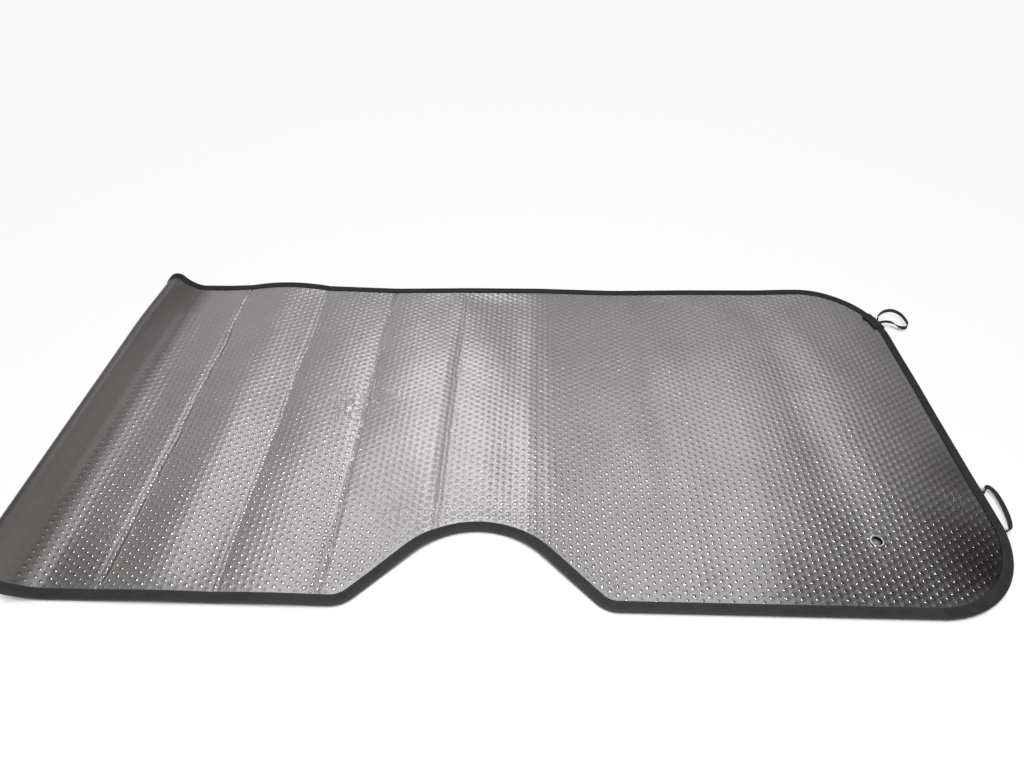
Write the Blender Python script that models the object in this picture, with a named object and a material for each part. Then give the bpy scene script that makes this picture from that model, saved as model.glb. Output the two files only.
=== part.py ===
"""Windshield sun shade: a sheet of foil-faced bubble film with a sewn edge binding, lying spread out.

Metres, Z up. The sheet is drawn flat first, in two sheet coordinates: s along its length and t across it,
from 0 at the edge with the mirror notch to SHADE_DEPTH at the far edge. fold_point() then bends that flat
pattern to the way the shade lies: arched between its folds, and folded under at its left end. The sheet, its
binding and its eyelet all pass through that one function, so they stay together when a size changes.
"""

import math
from typing import NamedTuple

import bmesh
import bpy
from mathutils import Matrix, Vector

# The sheet
SHADE_LENGTH = 1.310
SHADE_DEPTH = 0.589
SHEET_THICKNESS = 0.003
LEFT_END = -0.657
RIGHT_EDGE = LEFT_END + SHADE_LENGTH
FRONT_CORNER_RADIUS = 0.124
REAR_CORNER_RADIUS = 0.122

# The notch for the driving mirror, at the middle of the front edge
NOTCH_FROM_RIGHT = 0.647
NOTCH_DEPTH = 0.100
NOTCH_TOP_RADIUS = 0.117
NOTCH_BASE_RADIUS = 0.036
NOTCH_FLANK_ANGLE = math.radians(44)

# The binding is a U of tape round the edge
BINDING_WIDTH = 0.0115
TAPE_THICKNESS = 0.0008
CLEARANCE = 0.0003

# The left end: the sheet climbs to a crest, turns down and goes under
CREST_HEIGHT = 0.039
CREST_X = -0.567
CREST_LEAN = 0.006
CREST_RADIUS = 0.010
CLIMB_RADIUS = 0.095
REAR_CLIMB_RADIUS = 0.034
FLOOR_BEND_RADIUS = 0.014
REAR_CHANGE_START = 0.76

# The eyelet
EYELET_FROM_RIGHT = 0.1610
EYELET_FROM_FRONT = 0.0945
EYELET_BORE_RADIUS = 0.0055
EYELET_WALL = 0.0005
EYELET_FLANGE_RADIUS = 0.0088
EYELET_FLANGE_THICKNESS = 0.0006
WASHER_THICKNESS = 0.0004
ROLLED_LIP_RADIUS = 0.0072
EYELET_SIDES = 32

# The elastic loops on the right edge
ELASTIC_WIDTH = 0.0055
ELASTIC_THICKNESS = 0.0012
REAR_LOOP_FROM_REAR = 0.080
FRONT_LOOP_FROM_FRONT = 0.139
LOOP_END_CLEARANCE = 0.0007
TAB_LENGTH = 0.034
TAB_WIDTH = 0.0150
TAB_THICKNESS = 0.0012

# How finely the sheet is divided
CREST_STEP = 0.0034
CLIMB_STEP = 0.0080
PANEL_DIVISIONS = 3
ARC_DIVISIONS = 6
ROWS_ACROSS = 6
LEG_DIVISIONS = 2
TAB_DIVISIONS = 8
EYELET_MARGIN = 1.2
HARD_EDGE = math.radians(35)


class Crease(NamedTuple):
    """A fold line across the shade, and how the panel to the right of it arches."""

    s: float
    rear_height: float
    arch: float
    rear_arch: float
    front_arch: float


# The first row is where the left end starts to climb and the last one is the right edge
CREASES = (
    Crease(-0.4750, 0.0040, 0.0012, 0.0000, 0.0000),
    Crease(-0.4330, 0.0060, 0.0065, 0.0072, 0.0016),
    Crease(-0.2945, 0.0052, 0.0055, 0.0000, 0.0016),
    Crease(-0.1730, 0.0008, 0.0045, 0.0000, 0.0010),
    Crease(-0.0440, 0.0033, 0.0045, 0.0000, 0.0010),
    Crease(0.0830, 0.0035, 0.0012, 0.0000, 0.0000),
    Crease(0.2120, 0.0000, 0.0050, 0.0000, 0.0000),
    Crease(0.3400, 0.0030, 0.0030, 0.0000, 0.0000),
    Crease(0.4680, 0.0040, 0.0045, 0.0030, 0.0000),
    Crease(RIGHT_EDGE, 0.0030, 0.0000, 0.0000, 0.0000),
)

# Each loop's centre line: out from the tape, along the edge towards the rear, height above the edge's middle
REAR_LOOP_ROUTE = (
    (0.0000, 0.0030, 0.0000), (0.0030, 0.0034, 0.0000), (0.0110, 0.0115, 0.0002), (0.0290, 0.0180, 0.0000),
    (0.0440, 0.0160, -0.0006), (0.0510, 0.0040, -0.0012), (0.0470, -0.0150, -0.0014), (0.0400, -0.0240, -0.0014),
    (0.0330, -0.0270, -0.0012), (0.0260, -0.0235, -0.0008), (0.0230, -0.0160, -0.0004), (0.0195, -0.0090, 0.0000),
    (0.0120, -0.0045, 0.0002), (0.0030, -0.0030, 0.0000), (0.0000, -0.0030, 0.0000),
)
REAR_LOOP_TWIST = (0, 0, 10, 25, 20, 5, 0, -10, -35, -80, -125, -160, -175, -180, -180)
FRONT_LOOP_ROUTE = (
    (0.0000, 0.0310, 0.0004), (0.0030, 0.0312, 0.0004), (0.0068, 0.0375, 0.0010), (0.0112, 0.0380, 0.0014),
    (0.0148, 0.0300, 0.0014), (0.0152, 0.0160, 0.0014), (0.0138, 0.0020, 0.0014), (0.0110, -0.0120, 0.0014),
    (0.0072, -0.0225, 0.0010), (0.0030, -0.0258, 0.0004), (0.0000, -0.0260, 0.0004),
)
FRONT_LOOP_TWIST = (0, 2, 8, 14, 10, 0, -8, -14, -8, -2, 0)
LOOP_SAMPLES = 3

# Worked out from the sizes above
NOTCH_CENTRE = RIGHT_EDGE - NOTCH_FROM_RIGHT
TAPE_INNER = SHEET_THICKNESS / 2 + CLEARANCE
TAPE_OUTER = TAPE_INNER + TAPE_THICKNESS
TAPE_REACH = CLEARANCE + TAPE_THICKNESS
REST_HEIGHT = TAPE_OUTER
RIGHT_ANGLE = math.pi / 2


def lerp(a, b, share):
    """Return the value that lies the given share of the way from a to b."""
    return a + (b - a) * share


def smooth(share):
    """Return a share clamped to 0..1 and eased at both ends."""
    share = min(max(share, 0.0), 1.0)
    return share * share * (3 - 2 * share)


# The flat pattern


def corner_cut(distance, radius):
    """Return how far a rounded corner cuts into the width at a distance from the sheet's end."""
    if distance >= radius:
        return 0.0
    return radius - math.sqrt(max(radius ** 2 - (radius - distance) ** 2, 0.0))


def notch_half_widths():
    """Return the half widths of the notch at the end of its top arc, of its flank, and at its mouth."""
    sine, cosine = math.sin(NOTCH_FLANK_ANGLE), math.cos(NOTCH_FLANK_ANGLE)
    top = NOTCH_TOP_RADIUS * sine
    fall_in_arcs = (NOTCH_TOP_RADIUS + NOTCH_BASE_RADIUS) * (1 - cosine)
    flank = top + (NOTCH_DEPTH - fall_in_arcs) / math.tan(NOTCH_FLANK_ANGLE)
    return top, flank, flank + NOTCH_BASE_RADIUS * sine


def notch_cut(s):
    """Return how far the mirror notch cuts into the sheet at s."""
    top, flank, mouth = notch_half_widths()
    away = abs(s - NOTCH_CENTRE)
    if away >= mouth:
        return 0.0
    if away > flank:
        return NOTCH_BASE_RADIUS - math.sqrt(NOTCH_BASE_RADIUS ** 2 - (mouth - away) ** 2)
    if away > top:
        base_rise = NOTCH_BASE_RADIUS * (1 - math.cos(NOTCH_FLANK_ANGLE))
        return base_rise + (flank - away) * math.tan(NOTCH_FLANK_ANGLE)
    return NOTCH_DEPTH - NOTCH_TOP_RADIUS + math.sqrt(NOTCH_TOP_RADIUS ** 2 - away ** 2)


def front_edge(s):
    """Return t of the sheet's front edge at s."""
    to_end = min(s - LEFT_END, RIGHT_EDGE - s)
    return max(notch_cut(s), corner_cut(to_end, FRONT_CORNER_RADIUS))


def rear_edge(s):
    """Return t of the sheet's rear edge at s."""
    to_end = min(s - LEFT_END, RIGHT_EDGE - s)
    return SHADE_DEPTH - corner_cut(to_end, REAR_CORNER_RADIUS)


def corner_stations(radius):
    """Return distances from the sheet's end that divide a rounded corner into equal arcs."""
    turns = [RIGHT_ANGLE * i / ARC_DIVISIONS for i in range(ARC_DIVISIONS + 1)]
    return [radius * (1 - math.cos(turn)) for turn in turns]


def notch_stations():
    """Return half widths that divide the notch's arcs evenly."""
    _, _, mouth = notch_half_widths()
    turns = [NOTCH_FLANK_ANGLE * i / ARC_DIVISIONS for i in range(ARC_DIVISIONS + 1)]
    top = [NOTCH_TOP_RADIUS * math.sin(turn) for turn in turns]
    base = [mouth - NOTCH_BASE_RADIUS * math.sin(turn) for turn in turns[::2] + turns[-1:]]
    return top + base


def stations():
    """Return every s at which the sheet and its binding have a cross-section."""
    found = [LEFT_END, RIGHT_EDGE]
    corners = corner_stations(max(FRONT_CORNER_RADIUS, REAR_CORNER_RADIUS))
    found += [RIGHT_EDGE - distance for distance in corners]
    for half_width in notch_stations():
        found += [NOTCH_CENTRE - half_width, NOTCH_CENTRE + half_width]
    for left, right in zip(CREASES, CREASES[1:]):
        found += [lerp(left.s, right.s, i / PANEL_DIVISIONS) for i in range(PANEL_DIVISIONS)]
        if notch_cut(left.s) > 0:
            found += [left.s - CREST_STEP, left.s + CREST_STEP]
    near_eyelet = EYELET_FLANGE_RADIUS * EYELET_MARGIN
    found += [RIGHT_EDGE - EYELET_FROM_RIGHT + offset for offset in (-near_eyelet, near_eyelet)]
    crest_s = CREST_X - CREST_RADIUS * 0.5
    for start, end, step in ((LEFT_END, crest_s, CREST_STEP), (crest_s, CREASES[0].s, CLIMB_STEP)):
        steps = math.ceil((end - start) / step)
        found += [lerp(start, end, i / steps) for i in range(steps + 1)]
    return merge_close(found)


def merge_close(found):
    """Return the stations in order, leaving out those that lie nearly on another one."""
    kept = []
    fixed = {RIGHT_EDGE, LEFT_END, *(crease.s for crease in CREASES)}
    inside = [s for s in found if LEFT_END < s < RIGHT_EDGE]
    for s in sorted(fixed) + sorted(inside):
        if all(abs(s - other) >= CREST_STEP / 2 for other in kept):
            kept.append(s)
    return sorted(kept)


def row_shares():
    """Return where the sheet's rows lie across it, as shares, with one on each side of the eyelet."""
    inset = BINDING_WIDTH + CLEARANCE
    usable = SHADE_DEPTH - 2 * inset
    eyelet = (EYELET_FROM_FRONT - inset) / usable
    beside = EYELET_FLANGE_RADIUS * EYELET_MARGIN / usable
    beyond = [lerp(eyelet + beside, 1.0, i / ROWS_ACROSS) for i in range(ROWS_ACROSS + 1)]
    return [0.0, eyelet - beside, *beyond]


# How the sheet lies


def standoff(s, v):
    """Return how far the sheet stands above its resting height, with v from 0 at the front to 1 at the rear."""
    s = min(max(s, CREASES[0].s), CREASES[-1].s)
    left, right = next(pair for pair in zip(CREASES, CREASES[1:]) if s <= pair[1].s)
    share = (s - left.s) / (right.s - left.s)
    fold_height = lerp(left.rear_height, right.rear_height, share) * v ** 2
    arch = left.arch * 4 * v * (1 - v) + left.rear_arch * v ** 2 + left.front_arch * (1 - v) ** 2
    return fold_height + arch * 4 * share * (1 - share)


class Curl(NamedTuple):
    """The folded-under left end in one upright plane: an arc up, a tight crest, a drop and a bend to the floor."""

    start_height: float
    climb_radius: float
    climb_angle: float
    crest_x: float
    crest_centre_height: float
    start_x: float
    drop: float


def curl_at(v):
    """Return the curl in the upright plane at v across the sheet."""
    rear = smooth((v - REAR_CHANGE_START) / (1 - REAR_CHANGE_START))
    climb_radius = lerp(CLIMB_RADIUS, REAR_CLIMB_RADIUS, rear)
    crest_x = CREST_X + CREST_LEAN * rear
    start_height = REST_HEIGHT + standoff(CREASES[0].s, v)
    top = CREST_HEIGHT - SHEET_THICKNESS / 2
    reach = climb_radius + CREST_RADIUS
    angle = math.acos(1 - (top - start_height) / reach)
    centre = top - CREST_RADIUS
    drop = centre - REST_HEIGHT - FLOOR_BEND_RADIUS
    return Curl(start_height, climb_radius, angle, crest_x, centre, crest_x + reach * math.sin(angle), drop)


def curl_length(curl):
    """Return the sheet's length along the curl, from where it starts to climb to where it lies flat again."""
    crest = CREST_RADIUS * (curl.climb_angle + RIGHT_ANGLE)
    return curl.climb_radius * curl.climb_angle + crest + curl.drop + FLOOR_BEND_RADIUS * RIGHT_ANGLE


def curl_point(curl, distance):
    """Return x and z at a distance along the curl from where the sheet starts to climb."""
    climb = curl.climb_radius * curl.climb_angle
    if distance <= climb:
        angle = distance / curl.climb_radius
        rise = curl.climb_radius * (1 - math.cos(angle))
        return curl.start_x - curl.climb_radius * math.sin(angle), curl.start_height + rise
    distance -= climb
    crest = CREST_RADIUS * (curl.climb_angle + RIGHT_ANGLE)
    if distance <= crest:
        heading = curl.climb_angle - distance / CREST_RADIUS
        x = curl.crest_x + CREST_RADIUS * math.sin(heading)
        return x, curl.crest_centre_height + CREST_RADIUS * math.cos(heading)
    distance -= crest
    drop_x = curl.crest_x - CREST_RADIUS
    if distance <= curl.drop:
        return drop_x, curl.crest_centre_height - distance
    distance -= curl.drop
    bend_x, bend_z = drop_x + FLOOR_BEND_RADIUS, REST_HEIGHT + FLOOR_BEND_RADIUS
    bend = FLOOR_BEND_RADIUS * RIGHT_ANGLE
    if distance <= bend:
        angle = distance / FLOOR_BEND_RADIUS
        return bend_x - FLOOR_BEND_RADIUS * math.cos(angle), bend_z - FLOOR_BEND_RADIUS * math.sin(angle)
    return bend_x + distance - bend, REST_HEIGHT


def middle_point(s, t):
    """Return the place of the sheet's middle surface for the sheet coordinates s and t."""
    v = min(max(t / SHADE_DEPTH, 0.0), 1.0)
    curl = curl_at(v)
    if s >= curl.start_x:
        return Vector((s, t, REST_HEIGHT + standoff(s, v)))
    x, z = curl_point(curl, curl.start_x - s)
    return Vector((x, t, z))


def sheet_normal(s, t):
    """Return the sheet's upward normal, measured over a short step each way."""
    step = 0.0002
    along = middle_point(s + step, t) - middle_point(s - step, t)
    across = middle_point(s, t + step) - middle_point(s, t - step)
    return along.cross(across).normalized()


def fold_point(s, t, height=0.0):
    """Return the place of a point of the flat pattern, at a height off the sheet's middle surface."""
    return middle_point(s, t) + sheet_normal(s, t) * height


# Building blocks


def make_material(name, colour, roughness, metallic=0.0):
    """Return a plain Principled material."""
    material = bpy.data.materials.new(name)
    material.use_nodes = True
    shader = material.node_tree.nodes["Principled BSDF"]
    shader.inputs["Base Color"].default_value = (*colour, 1.0)
    shader.inputs["Roughness"].default_value = roughness
    shader.inputs["Metallic"].default_value = metallic
    return material


def make_object(name, mesh_data, material, parent):
    """Finish a bmesh as a named object under the shade's empty, shaded smooth up to its sharp edges."""
    bmesh.ops.recalc_face_normals(mesh_data, faces=mesh_data.faces)
    mesh = bpy.data.meshes.new(name)
    mesh_data.to_mesh(mesh)
    mesh_data.free()
    mesh.shade_smooth()
    mesh.set_sharp_from_angle(angle=HARD_EDGE)
    mesh.materials.append(material)
    piece = bpy.data.objects.new(name, mesh)
    bpy.context.collection.objects.link(piece)
    piece.parent = parent
    return piece


def sweep(rings, closed):
    """Return a bmesh that joins equal rings of points into a tube, closed on itself or capped."""
    swept = bmesh.new()
    loops = [[swept.verts.new(point) for point in ring] for ring in rings]
    count = len(loops[0])
    pairs = list(zip(loops, loops[1:]))
    if closed:
        pairs.append((loops[-1], loops[0]))
    else:
        swept.faces.new(loops[0])
        swept.faces.new(loops[-1])
    for ring, following in pairs:
        for i in range(count):
            j = (i + 1) % count
            swept.faces.new((ring[i], ring[j], following[j], following[i]))
    return swept


def outline_path():
    """Return the flat outline as points in order: front, right, rear, then left edge."""
    columns = stations()
    right_rows = [lerp(front_edge(RIGHT_EDGE), rear_edge(RIGHT_EDGE), i / ROWS_ACROSS) for i in range(1, ROWS_ACROSS)]
    left_rows = [lerp(rear_edge(LEFT_END), front_edge(LEFT_END), i / ROWS_ACROSS) for i in range(1, ROWS_ACROSS)]
    path = [Vector((s, front_edge(s))) for s in columns]
    path += [Vector((RIGHT_EDGE, t)) for t in right_rows]
    path += [Vector((s, rear_edge(s))) for s in reversed(columns)]
    return path + [Vector((LEFT_END, t)) for t in left_rows]


def outward_normals(path):
    """Return the outward unit normal at each point of the closed outline."""
    normals = []
    for before, point, after in zip(path[-1:] + path[:-1], path, path[1:] + path[:1]):
        along = ((after - point).normalized() + (point - before).normalized()).normalized()
        normals.append(Vector((along.y, -along.x)))
    return normals


def tape_profile(width, inner, outer, gap, thickness):
    """Return a U section round the edge as pairs: distance out from the edge, height off the middle."""
    reach = gap + thickness
    corner = thickness * 0.5
    leg = [-width * (1 - i / LEG_DIVISIONS) for i in range(LEG_DIVISIONS)]
    upper = [(out, outer) for out in leg] + [(reach - corner, outer), (reach, outer - corner)]
    lower = [(reach, corner - outer), (reach - corner, -outer)] + [(out, -outer) for out in reversed(leg)]
    inside = [(out, -inner) for out in leg] + [(gap, -inner), (gap, inner)]
    return upper + lower + inside + [(out, inner) for out in reversed(leg)]


def section_direction(point, normal):
    """Return which way a tape section reaches out, at unit distance from the edge.

    It is the outline's normal, but at the folded end it turns to run across the shade, along the bends, so
    that a flat-sided section never spans a bend. The tape's width square to the edge stays the same.
    """
    left_corner = LEFT_END + max(FRONT_CORNER_RADIUS, REAR_CORNER_RADIUS)
    on_left_end = point.x < LEFT_END + CREST_STEP / 2
    if on_left_end or point.x >= left_corner:
        return normal
    curl = curl_at(point.y / SHADE_DEPTH)
    clear_of_bend = curl.start_x - curl_length(curl) - BINDING_WIDTH
    turn = smooth((point.x - LEFT_END) / max(clear_of_bend - LEFT_END, CREST_STEP))
    return normal.lerp(Vector((0.0, 1 / normal.y)), turn)


def tape_ring(point, normal, profile):
    """Return the folded places of a tape section at one point of the flat outline."""
    direction = section_direction(point, normal)
    return [fold_point(*(point + direction * out), height) for out, height in profile]


def right_edge_anchor(t):
    """Return the point and outward normal of the right edge at t, in sheet coordinates."""
    for radius, centre_t, past in (
        (FRONT_CORNER_RADIUS, FRONT_CORNER_RADIUS, t < FRONT_CORNER_RADIUS),
        (REAR_CORNER_RADIUS, SHADE_DEPTH - REAR_CORNER_RADIUS, t > SHADE_DEPTH - REAR_CORNER_RADIUS),
    ):
        if past:
            turn = math.asin((t - centre_t) / radius)
            normal = Vector((math.cos(turn), math.sin(turn)))
            return Vector((RIGHT_EDGE - radius, centre_t)) + normal * radius, normal
    return Vector((RIGHT_EDGE, t)), Vector((1.0, 0.0))


def smooth_route(points, samples):
    """Return points along a smooth curve through the given ones, with a number of samples for each span."""
    padded = [points[0] * 2 - points[1], *points, points[-1] * 2 - points[-2]]
    route = []
    for a, b, c, d in zip(padded, padded[1:], padded[2:], padded[3:]):
        for i in range(samples):
            u = i / samples
            route.append(0.5 * (2 * b + (c - a) * u + (2 * a - 5 * b + 4 * c - d) * u ** 2
                                + (3 * b - a - 3 * c + d) * u ** 3))
    return route + [points[-1]]


def ribbon_rings(centre_line, twists):
    """Return the four-cornered sections of a flat band that stands on edge and turns by the twists."""
    rings = []
    ahead = centre_line[1:] + centre_line[-1:]
    behind = centre_line[:1] + centre_line[:-1]
    for point, before, after, twist in zip(centre_line, behind, ahead, twists):
        tangent = (after - before).normalized()
        sideways = tangent.cross(Vector((0, 0, 1))).normalized()
        turn = Matrix.Rotation(math.radians(twist), 3, tangent)
        wide = turn @ sideways.cross(tangent) * ELASTIC_WIDTH / 2
        thin = turn @ sideways * ELASTIC_THICKNESS / 2
        rings.append([point + wide + thin, point - wide + thin, point - wide - thin, point + wide - thin])
    return rings


def turned(profile, sides):
    """Return a bmesh of a closed profile of radius and height turned round the Z axis."""
    rings = []
    for i in range(sides):
        turn = 2 * math.pi * i / sides
        rings.append([Vector((r * math.cos(turn), r * math.sin(turn), z)) for r, z in profile])
    return sweep(rings, closed=True)


# The pieces


def eyelet_place():
    """Return the matrix that sets a turned piece upright on the sheet at the eyelet."""
    s, t = RIGHT_EDGE - EYELET_FROM_RIGHT, EYELET_FROM_FRONT
    normal = sheet_normal(s, t)
    along = (fold_point(s + 0.001, t) - fold_point(s - 0.001, t)).normalized()
    across = normal.cross(along)
    place = Matrix((along, across, normal)).transposed().to_4x4()
    place.translation = fold_point(s, t)
    return place


def build_sheet(material, parent):
    """Build the foil sheet, with its hole for the eyelet cut through."""
    sheet = bmesh.new()
    inset = BINDING_WIDTH + CLEARANCE
    sides = {1: [], -1: []}
    for s in stations():
        front, rear = front_edge(s), rear_edge(s)
        rows = [front] + [lerp(front + inset, rear - inset, share) for share in row_shares()] + [rear]
        for side, columns in sides.items():
            height = side * SHEET_THICKNESS / 2
            columns.append([sheet.verts.new(fold_point(s, t, height)) for t in rows])
    for columns in sides.values():
        for left, right in zip(columns, columns[1:]):
            for i in range(len(left) - 1):
                sheet.faces.new((left[i], right[i], right[i + 1], left[i + 1]))
    for end in (0, -1):
        upper, lower = sides[1][end], sides[-1][end]
        for i in range(len(upper) - 1):
            sheet.faces.new((upper[i], upper[i + 1], lower[i + 1], lower[i]))
        upper, lower = [column[end] for column in sides[1]], [column[end] for column in sides[-1]]
        for i in range(len(upper) - 1):
            sheet.faces.new((upper[i], upper[i + 1], lower[i + 1], lower[i]))
    bmesh.ops.triangulate(sheet, faces=sheet.faces)
    piece = make_object("foil_sheet", sheet, material, parent)

    hole = bmesh.new()
    radius = EYELET_BORE_RADIUS + EYELET_WALL + CLEARANCE
    bmesh.ops.create_cone(hole, cap_ends=True, segments=EYELET_SIDES, radius1=radius, radius2=radius,
                          depth=SHEET_THICKNESS * 4)
    cutter = make_object("eyelet_hole_cutter", hole, material, parent)
    cutter.matrix_local = eyelet_place()
    cutter.hide_render = True
    cutter.display_type = "WIRE"
    cut = piece.modifiers.new("eyelet hole", "BOOLEAN")
    cut.operation = "DIFFERENCE"
    cut.object = cutter
    return piece


def build_binding(material, parent):
    """Build the tape round the whole edge."""
    profile = tape_profile(BINDING_WIDTH, TAPE_INNER, TAPE_OUTER, CLEARANCE, TAPE_THICKNESS)
    path = outline_path()
    rings = [tape_ring(point, normal, profile) for point, normal in zip(path, outward_normals(path))]
    return make_object("edge_binding", sweep(rings, closed=True), material, parent)


def build_tab(material, parent):
    """Build the doubled tape that the rear loop is sewn into."""
    inner = TAPE_OUTER + CLEARANCE
    profile = tape_profile(TAB_WIDTH, inner, inner + TAB_THICKNESS, TAPE_REACH + CLEARANCE, TAB_THICKNESS)
    centre = SHADE_DEPTH - REAR_LOOP_FROM_REAR
    shares = [i / TAB_DIVISIONS - 0.5 for i in range(TAB_DIVISIONS + 1)]
    anchors = [right_edge_anchor(centre + TAB_LENGTH * share) for share in shares]
    rings = [tape_ring(point, normal, profile) for point, normal in anchors]
    return make_object("loop_tab_rear", sweep(rings, closed=False), material, parent)


def build_loop(name, anchor_t, reach, route, twists, material, parent):
    """Build an elastic loop whose two ends stop against the tape at a place on the right edge."""
    start, normal = right_edge_anchor(anchor_t)
    tangent = Vector((-normal.y, normal.x))
    edge_height = fold_point(*start).z
    points = []
    for out, along, height in route:
        foot = start + normal * (reach + LOOP_END_CLEARANCE + out) + tangent * along
        points.append(Vector((foot.x, foot.y, edge_height + height)))
    line = smooth_route(points, LOOP_SAMPLES)
    turns = [turn.x for turn in smooth_route([Vector((twist, 0, 0)) for twist in twists], LOOP_SAMPLES)]
    return make_object(name, sweep(ribbon_rings(line, turns), closed=False), material, parent)


def build_eyelet(material, parent):
    """Build the eyelet's flange and barrel, and the washer that its rolled end holds under the sheet."""
    bore, barrel = EYELET_BORE_RADIUS, EYELET_BORE_RADIUS + EYELET_WALL
    seat = SHEET_THICKNESS / 2 + CLEARANCE
    crown = seat + EYELET_FLANGE_THICKNESS
    rim = EYELET_FLANGE_THICKNESS * 0.5
    washer_low = -seat - WASHER_THICKNESS
    lip_top = washer_low - CLEARANCE
    lip_low = lip_top - EYELET_WALL
    profile = (
        (bore, crown - rim), (bore + rim, crown), (EYELET_FLANGE_RADIUS - rim, crown),
        (EYELET_FLANGE_RADIUS, crown - rim), (EYELET_FLANGE_RADIUS, seat), (barrel, seat), (barrel, lip_top),
        (ROLLED_LIP_RADIUS, lip_top), (ROLLED_LIP_RADIUS, lip_low), (bore, lip_low),
    )
    eyelet = make_object("eyelet", turned(profile, EYELET_SIDES), material, parent)
    hole = barrel + CLEARANCE
    section = ((hole, -seat), (EYELET_FLANGE_RADIUS, -seat), (EYELET_FLANGE_RADIUS, washer_low), (hole, washer_low))
    washer = make_object("eyelet_washer", turned(section, EYELET_SIDES), material, parent)
    eyelet.matrix_local = washer.matrix_local = eyelet_place()
    return [eyelet, washer]


def centre_on_floor(parent, pieces):
    """Move the shade's empty so that the origin lies under the middle of the whole shade."""
    bpy.context.view_layer.update()
    corners = [piece.matrix_world @ Vector(corner) for piece in pieces for corner in piece.bound_box]
    low = [min(corner[i] for corner in corners) for i in range(3)]
    high = [max(corner[i] for corner in corners) for i in range(3)]
    parent.location = (-(low[0] + high[0]) / 2, -(low[1] + high[1]) / 2, -low[2])


def main():
    """Clear the scene and build the shade."""
    for leftover in list(bpy.data.objects):
        bpy.data.objects.remove(leftover, do_unlink=True)
    parent = bpy.data.objects.new("sun_shade", None)
    bpy.context.collection.objects.link(parent)
    foil = make_material("silver_foil", (0.62, 0.60, 0.58), 0.32, 1.0)
    tape = make_material("black_tape", (0.030, 0.030, 0.034), 0.80)
    elastic = make_material("black_elastic", (0.022, 0.022, 0.024), 0.85)
    steel = make_material("plated_steel", (0.78, 0.78, 0.76), 0.22, 1.0)

    pieces = [build_sheet(foil, parent), build_binding(tape, parent), build_tab(tape, parent)]
    tab_reach = TAPE_REACH + CLEARANCE + TAB_THICKNESS
    pieces.append(build_loop("elastic_loop_rear", SHADE_DEPTH - REAR_LOOP_FROM_REAR, tab_reach,
                             REAR_LOOP_ROUTE, REAR_LOOP_TWIST, elastic, parent))
    pieces.append(build_loop("elastic_loop_front", FRONT_LOOP_FROM_FRONT, TAPE_REACH,
                             FRONT_LOOP_ROUTE, FRONT_LOOP_TWIST, elastic, parent))
    pieces += build_eyelet(steel, parent)
    centre_on_floor(parent, pieces)


main()
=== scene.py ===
"""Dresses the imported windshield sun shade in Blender: bubble foil, sewn binding, elastic loops and eyelet.

The flat pattern and the way it folds are the same as in the part's source, so every piece made here lies where
its CAD solid lies. Sheet coordinates are s along the shade and t across it, in metres.
"""

from __future__ import annotations

import logging
import math
from dataclasses import dataclass
from enum import Enum

import bmesh
import bpy
import numpy as np
from mathutils import Matrix, Vector

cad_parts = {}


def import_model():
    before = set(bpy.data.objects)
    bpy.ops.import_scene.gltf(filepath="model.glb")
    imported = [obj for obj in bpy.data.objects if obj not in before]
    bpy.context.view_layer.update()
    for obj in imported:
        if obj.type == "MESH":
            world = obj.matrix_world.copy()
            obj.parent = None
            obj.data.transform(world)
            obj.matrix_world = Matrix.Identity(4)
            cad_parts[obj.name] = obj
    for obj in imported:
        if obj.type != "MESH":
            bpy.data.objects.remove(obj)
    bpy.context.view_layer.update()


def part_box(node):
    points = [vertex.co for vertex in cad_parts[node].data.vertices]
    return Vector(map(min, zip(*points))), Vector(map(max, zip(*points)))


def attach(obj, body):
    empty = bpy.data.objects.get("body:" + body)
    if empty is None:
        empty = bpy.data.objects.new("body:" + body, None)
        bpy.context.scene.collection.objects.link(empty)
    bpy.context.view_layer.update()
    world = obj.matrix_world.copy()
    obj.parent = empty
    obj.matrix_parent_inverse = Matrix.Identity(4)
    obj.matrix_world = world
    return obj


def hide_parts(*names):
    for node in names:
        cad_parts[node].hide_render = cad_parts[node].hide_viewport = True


LOG = logging.getLogger("sun_shade")
ROOT = "root"
UV_NAME = "flat_pattern"
RIGHT_ANGLE = math.pi / 2
Array = np.ndarray
Colour = tuple[float, float, float, float]
Spot = tuple[float, float, float, float]


class Slot(Enum):
    """The record's material slots."""

    FOIL = "foil"
    BINDING = "binding_tape"
    ELASTIC = "elastic"
    METAL = "eyelet_metal"


def smooth(share: Array) -> Array:
    """Return shares clamped to 0..1 and eased at both ends."""
    share = np.clip(share, 0.0, 1.0)
    return share * share * (3 - 2 * share)


def unit(vectors: Array) -> Array:
    """Return row vectors at unit length."""
    return vectors / np.maximum(np.linalg.norm(vectors, axis=-1, keepdims=True), 1e-12)


def distance_along(points: Array) -> Array:
    """Return how far along a line each of its points lies."""
    return np.concatenate([[0.0], np.cumsum(np.linalg.norm(np.diff(points, axis=0), axis=1))])


def closed_line_directions(points: Array) -> tuple[Array, Array]:
    """Return the directions along a closed line that turns left, and its outward normals."""
    along = unit(np.roll(points, -1, 0) - np.roll(points, 1, 0))
    return along, np.stack([along[:, 1], -along[:, 0]], 1)


def spaced(points: Array, step: float, closed: bool = False) -> Array:
    """Spread points evenly along a line.

    Args:
        points: the line's points, one in each row.
        step: the spacing wanted, in metres.
        closed: whether the line returns to its first point.

    Returns:
        Evenly spaced points; a closed line's first point isn't repeated.
    """
    if closed:
        points = np.vstack([points, points[:1]])
    travelled = distance_along(points)
    count = max(int(round(travelled[-1] / step)), 2)
    wanted = np.linspace(0.0, travelled[-1], count + 1)
    if closed:
        wanted = wanted[:-1]
    return np.stack([np.interp(wanted, travelled, column) for column in points.T], axis=1)


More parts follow.
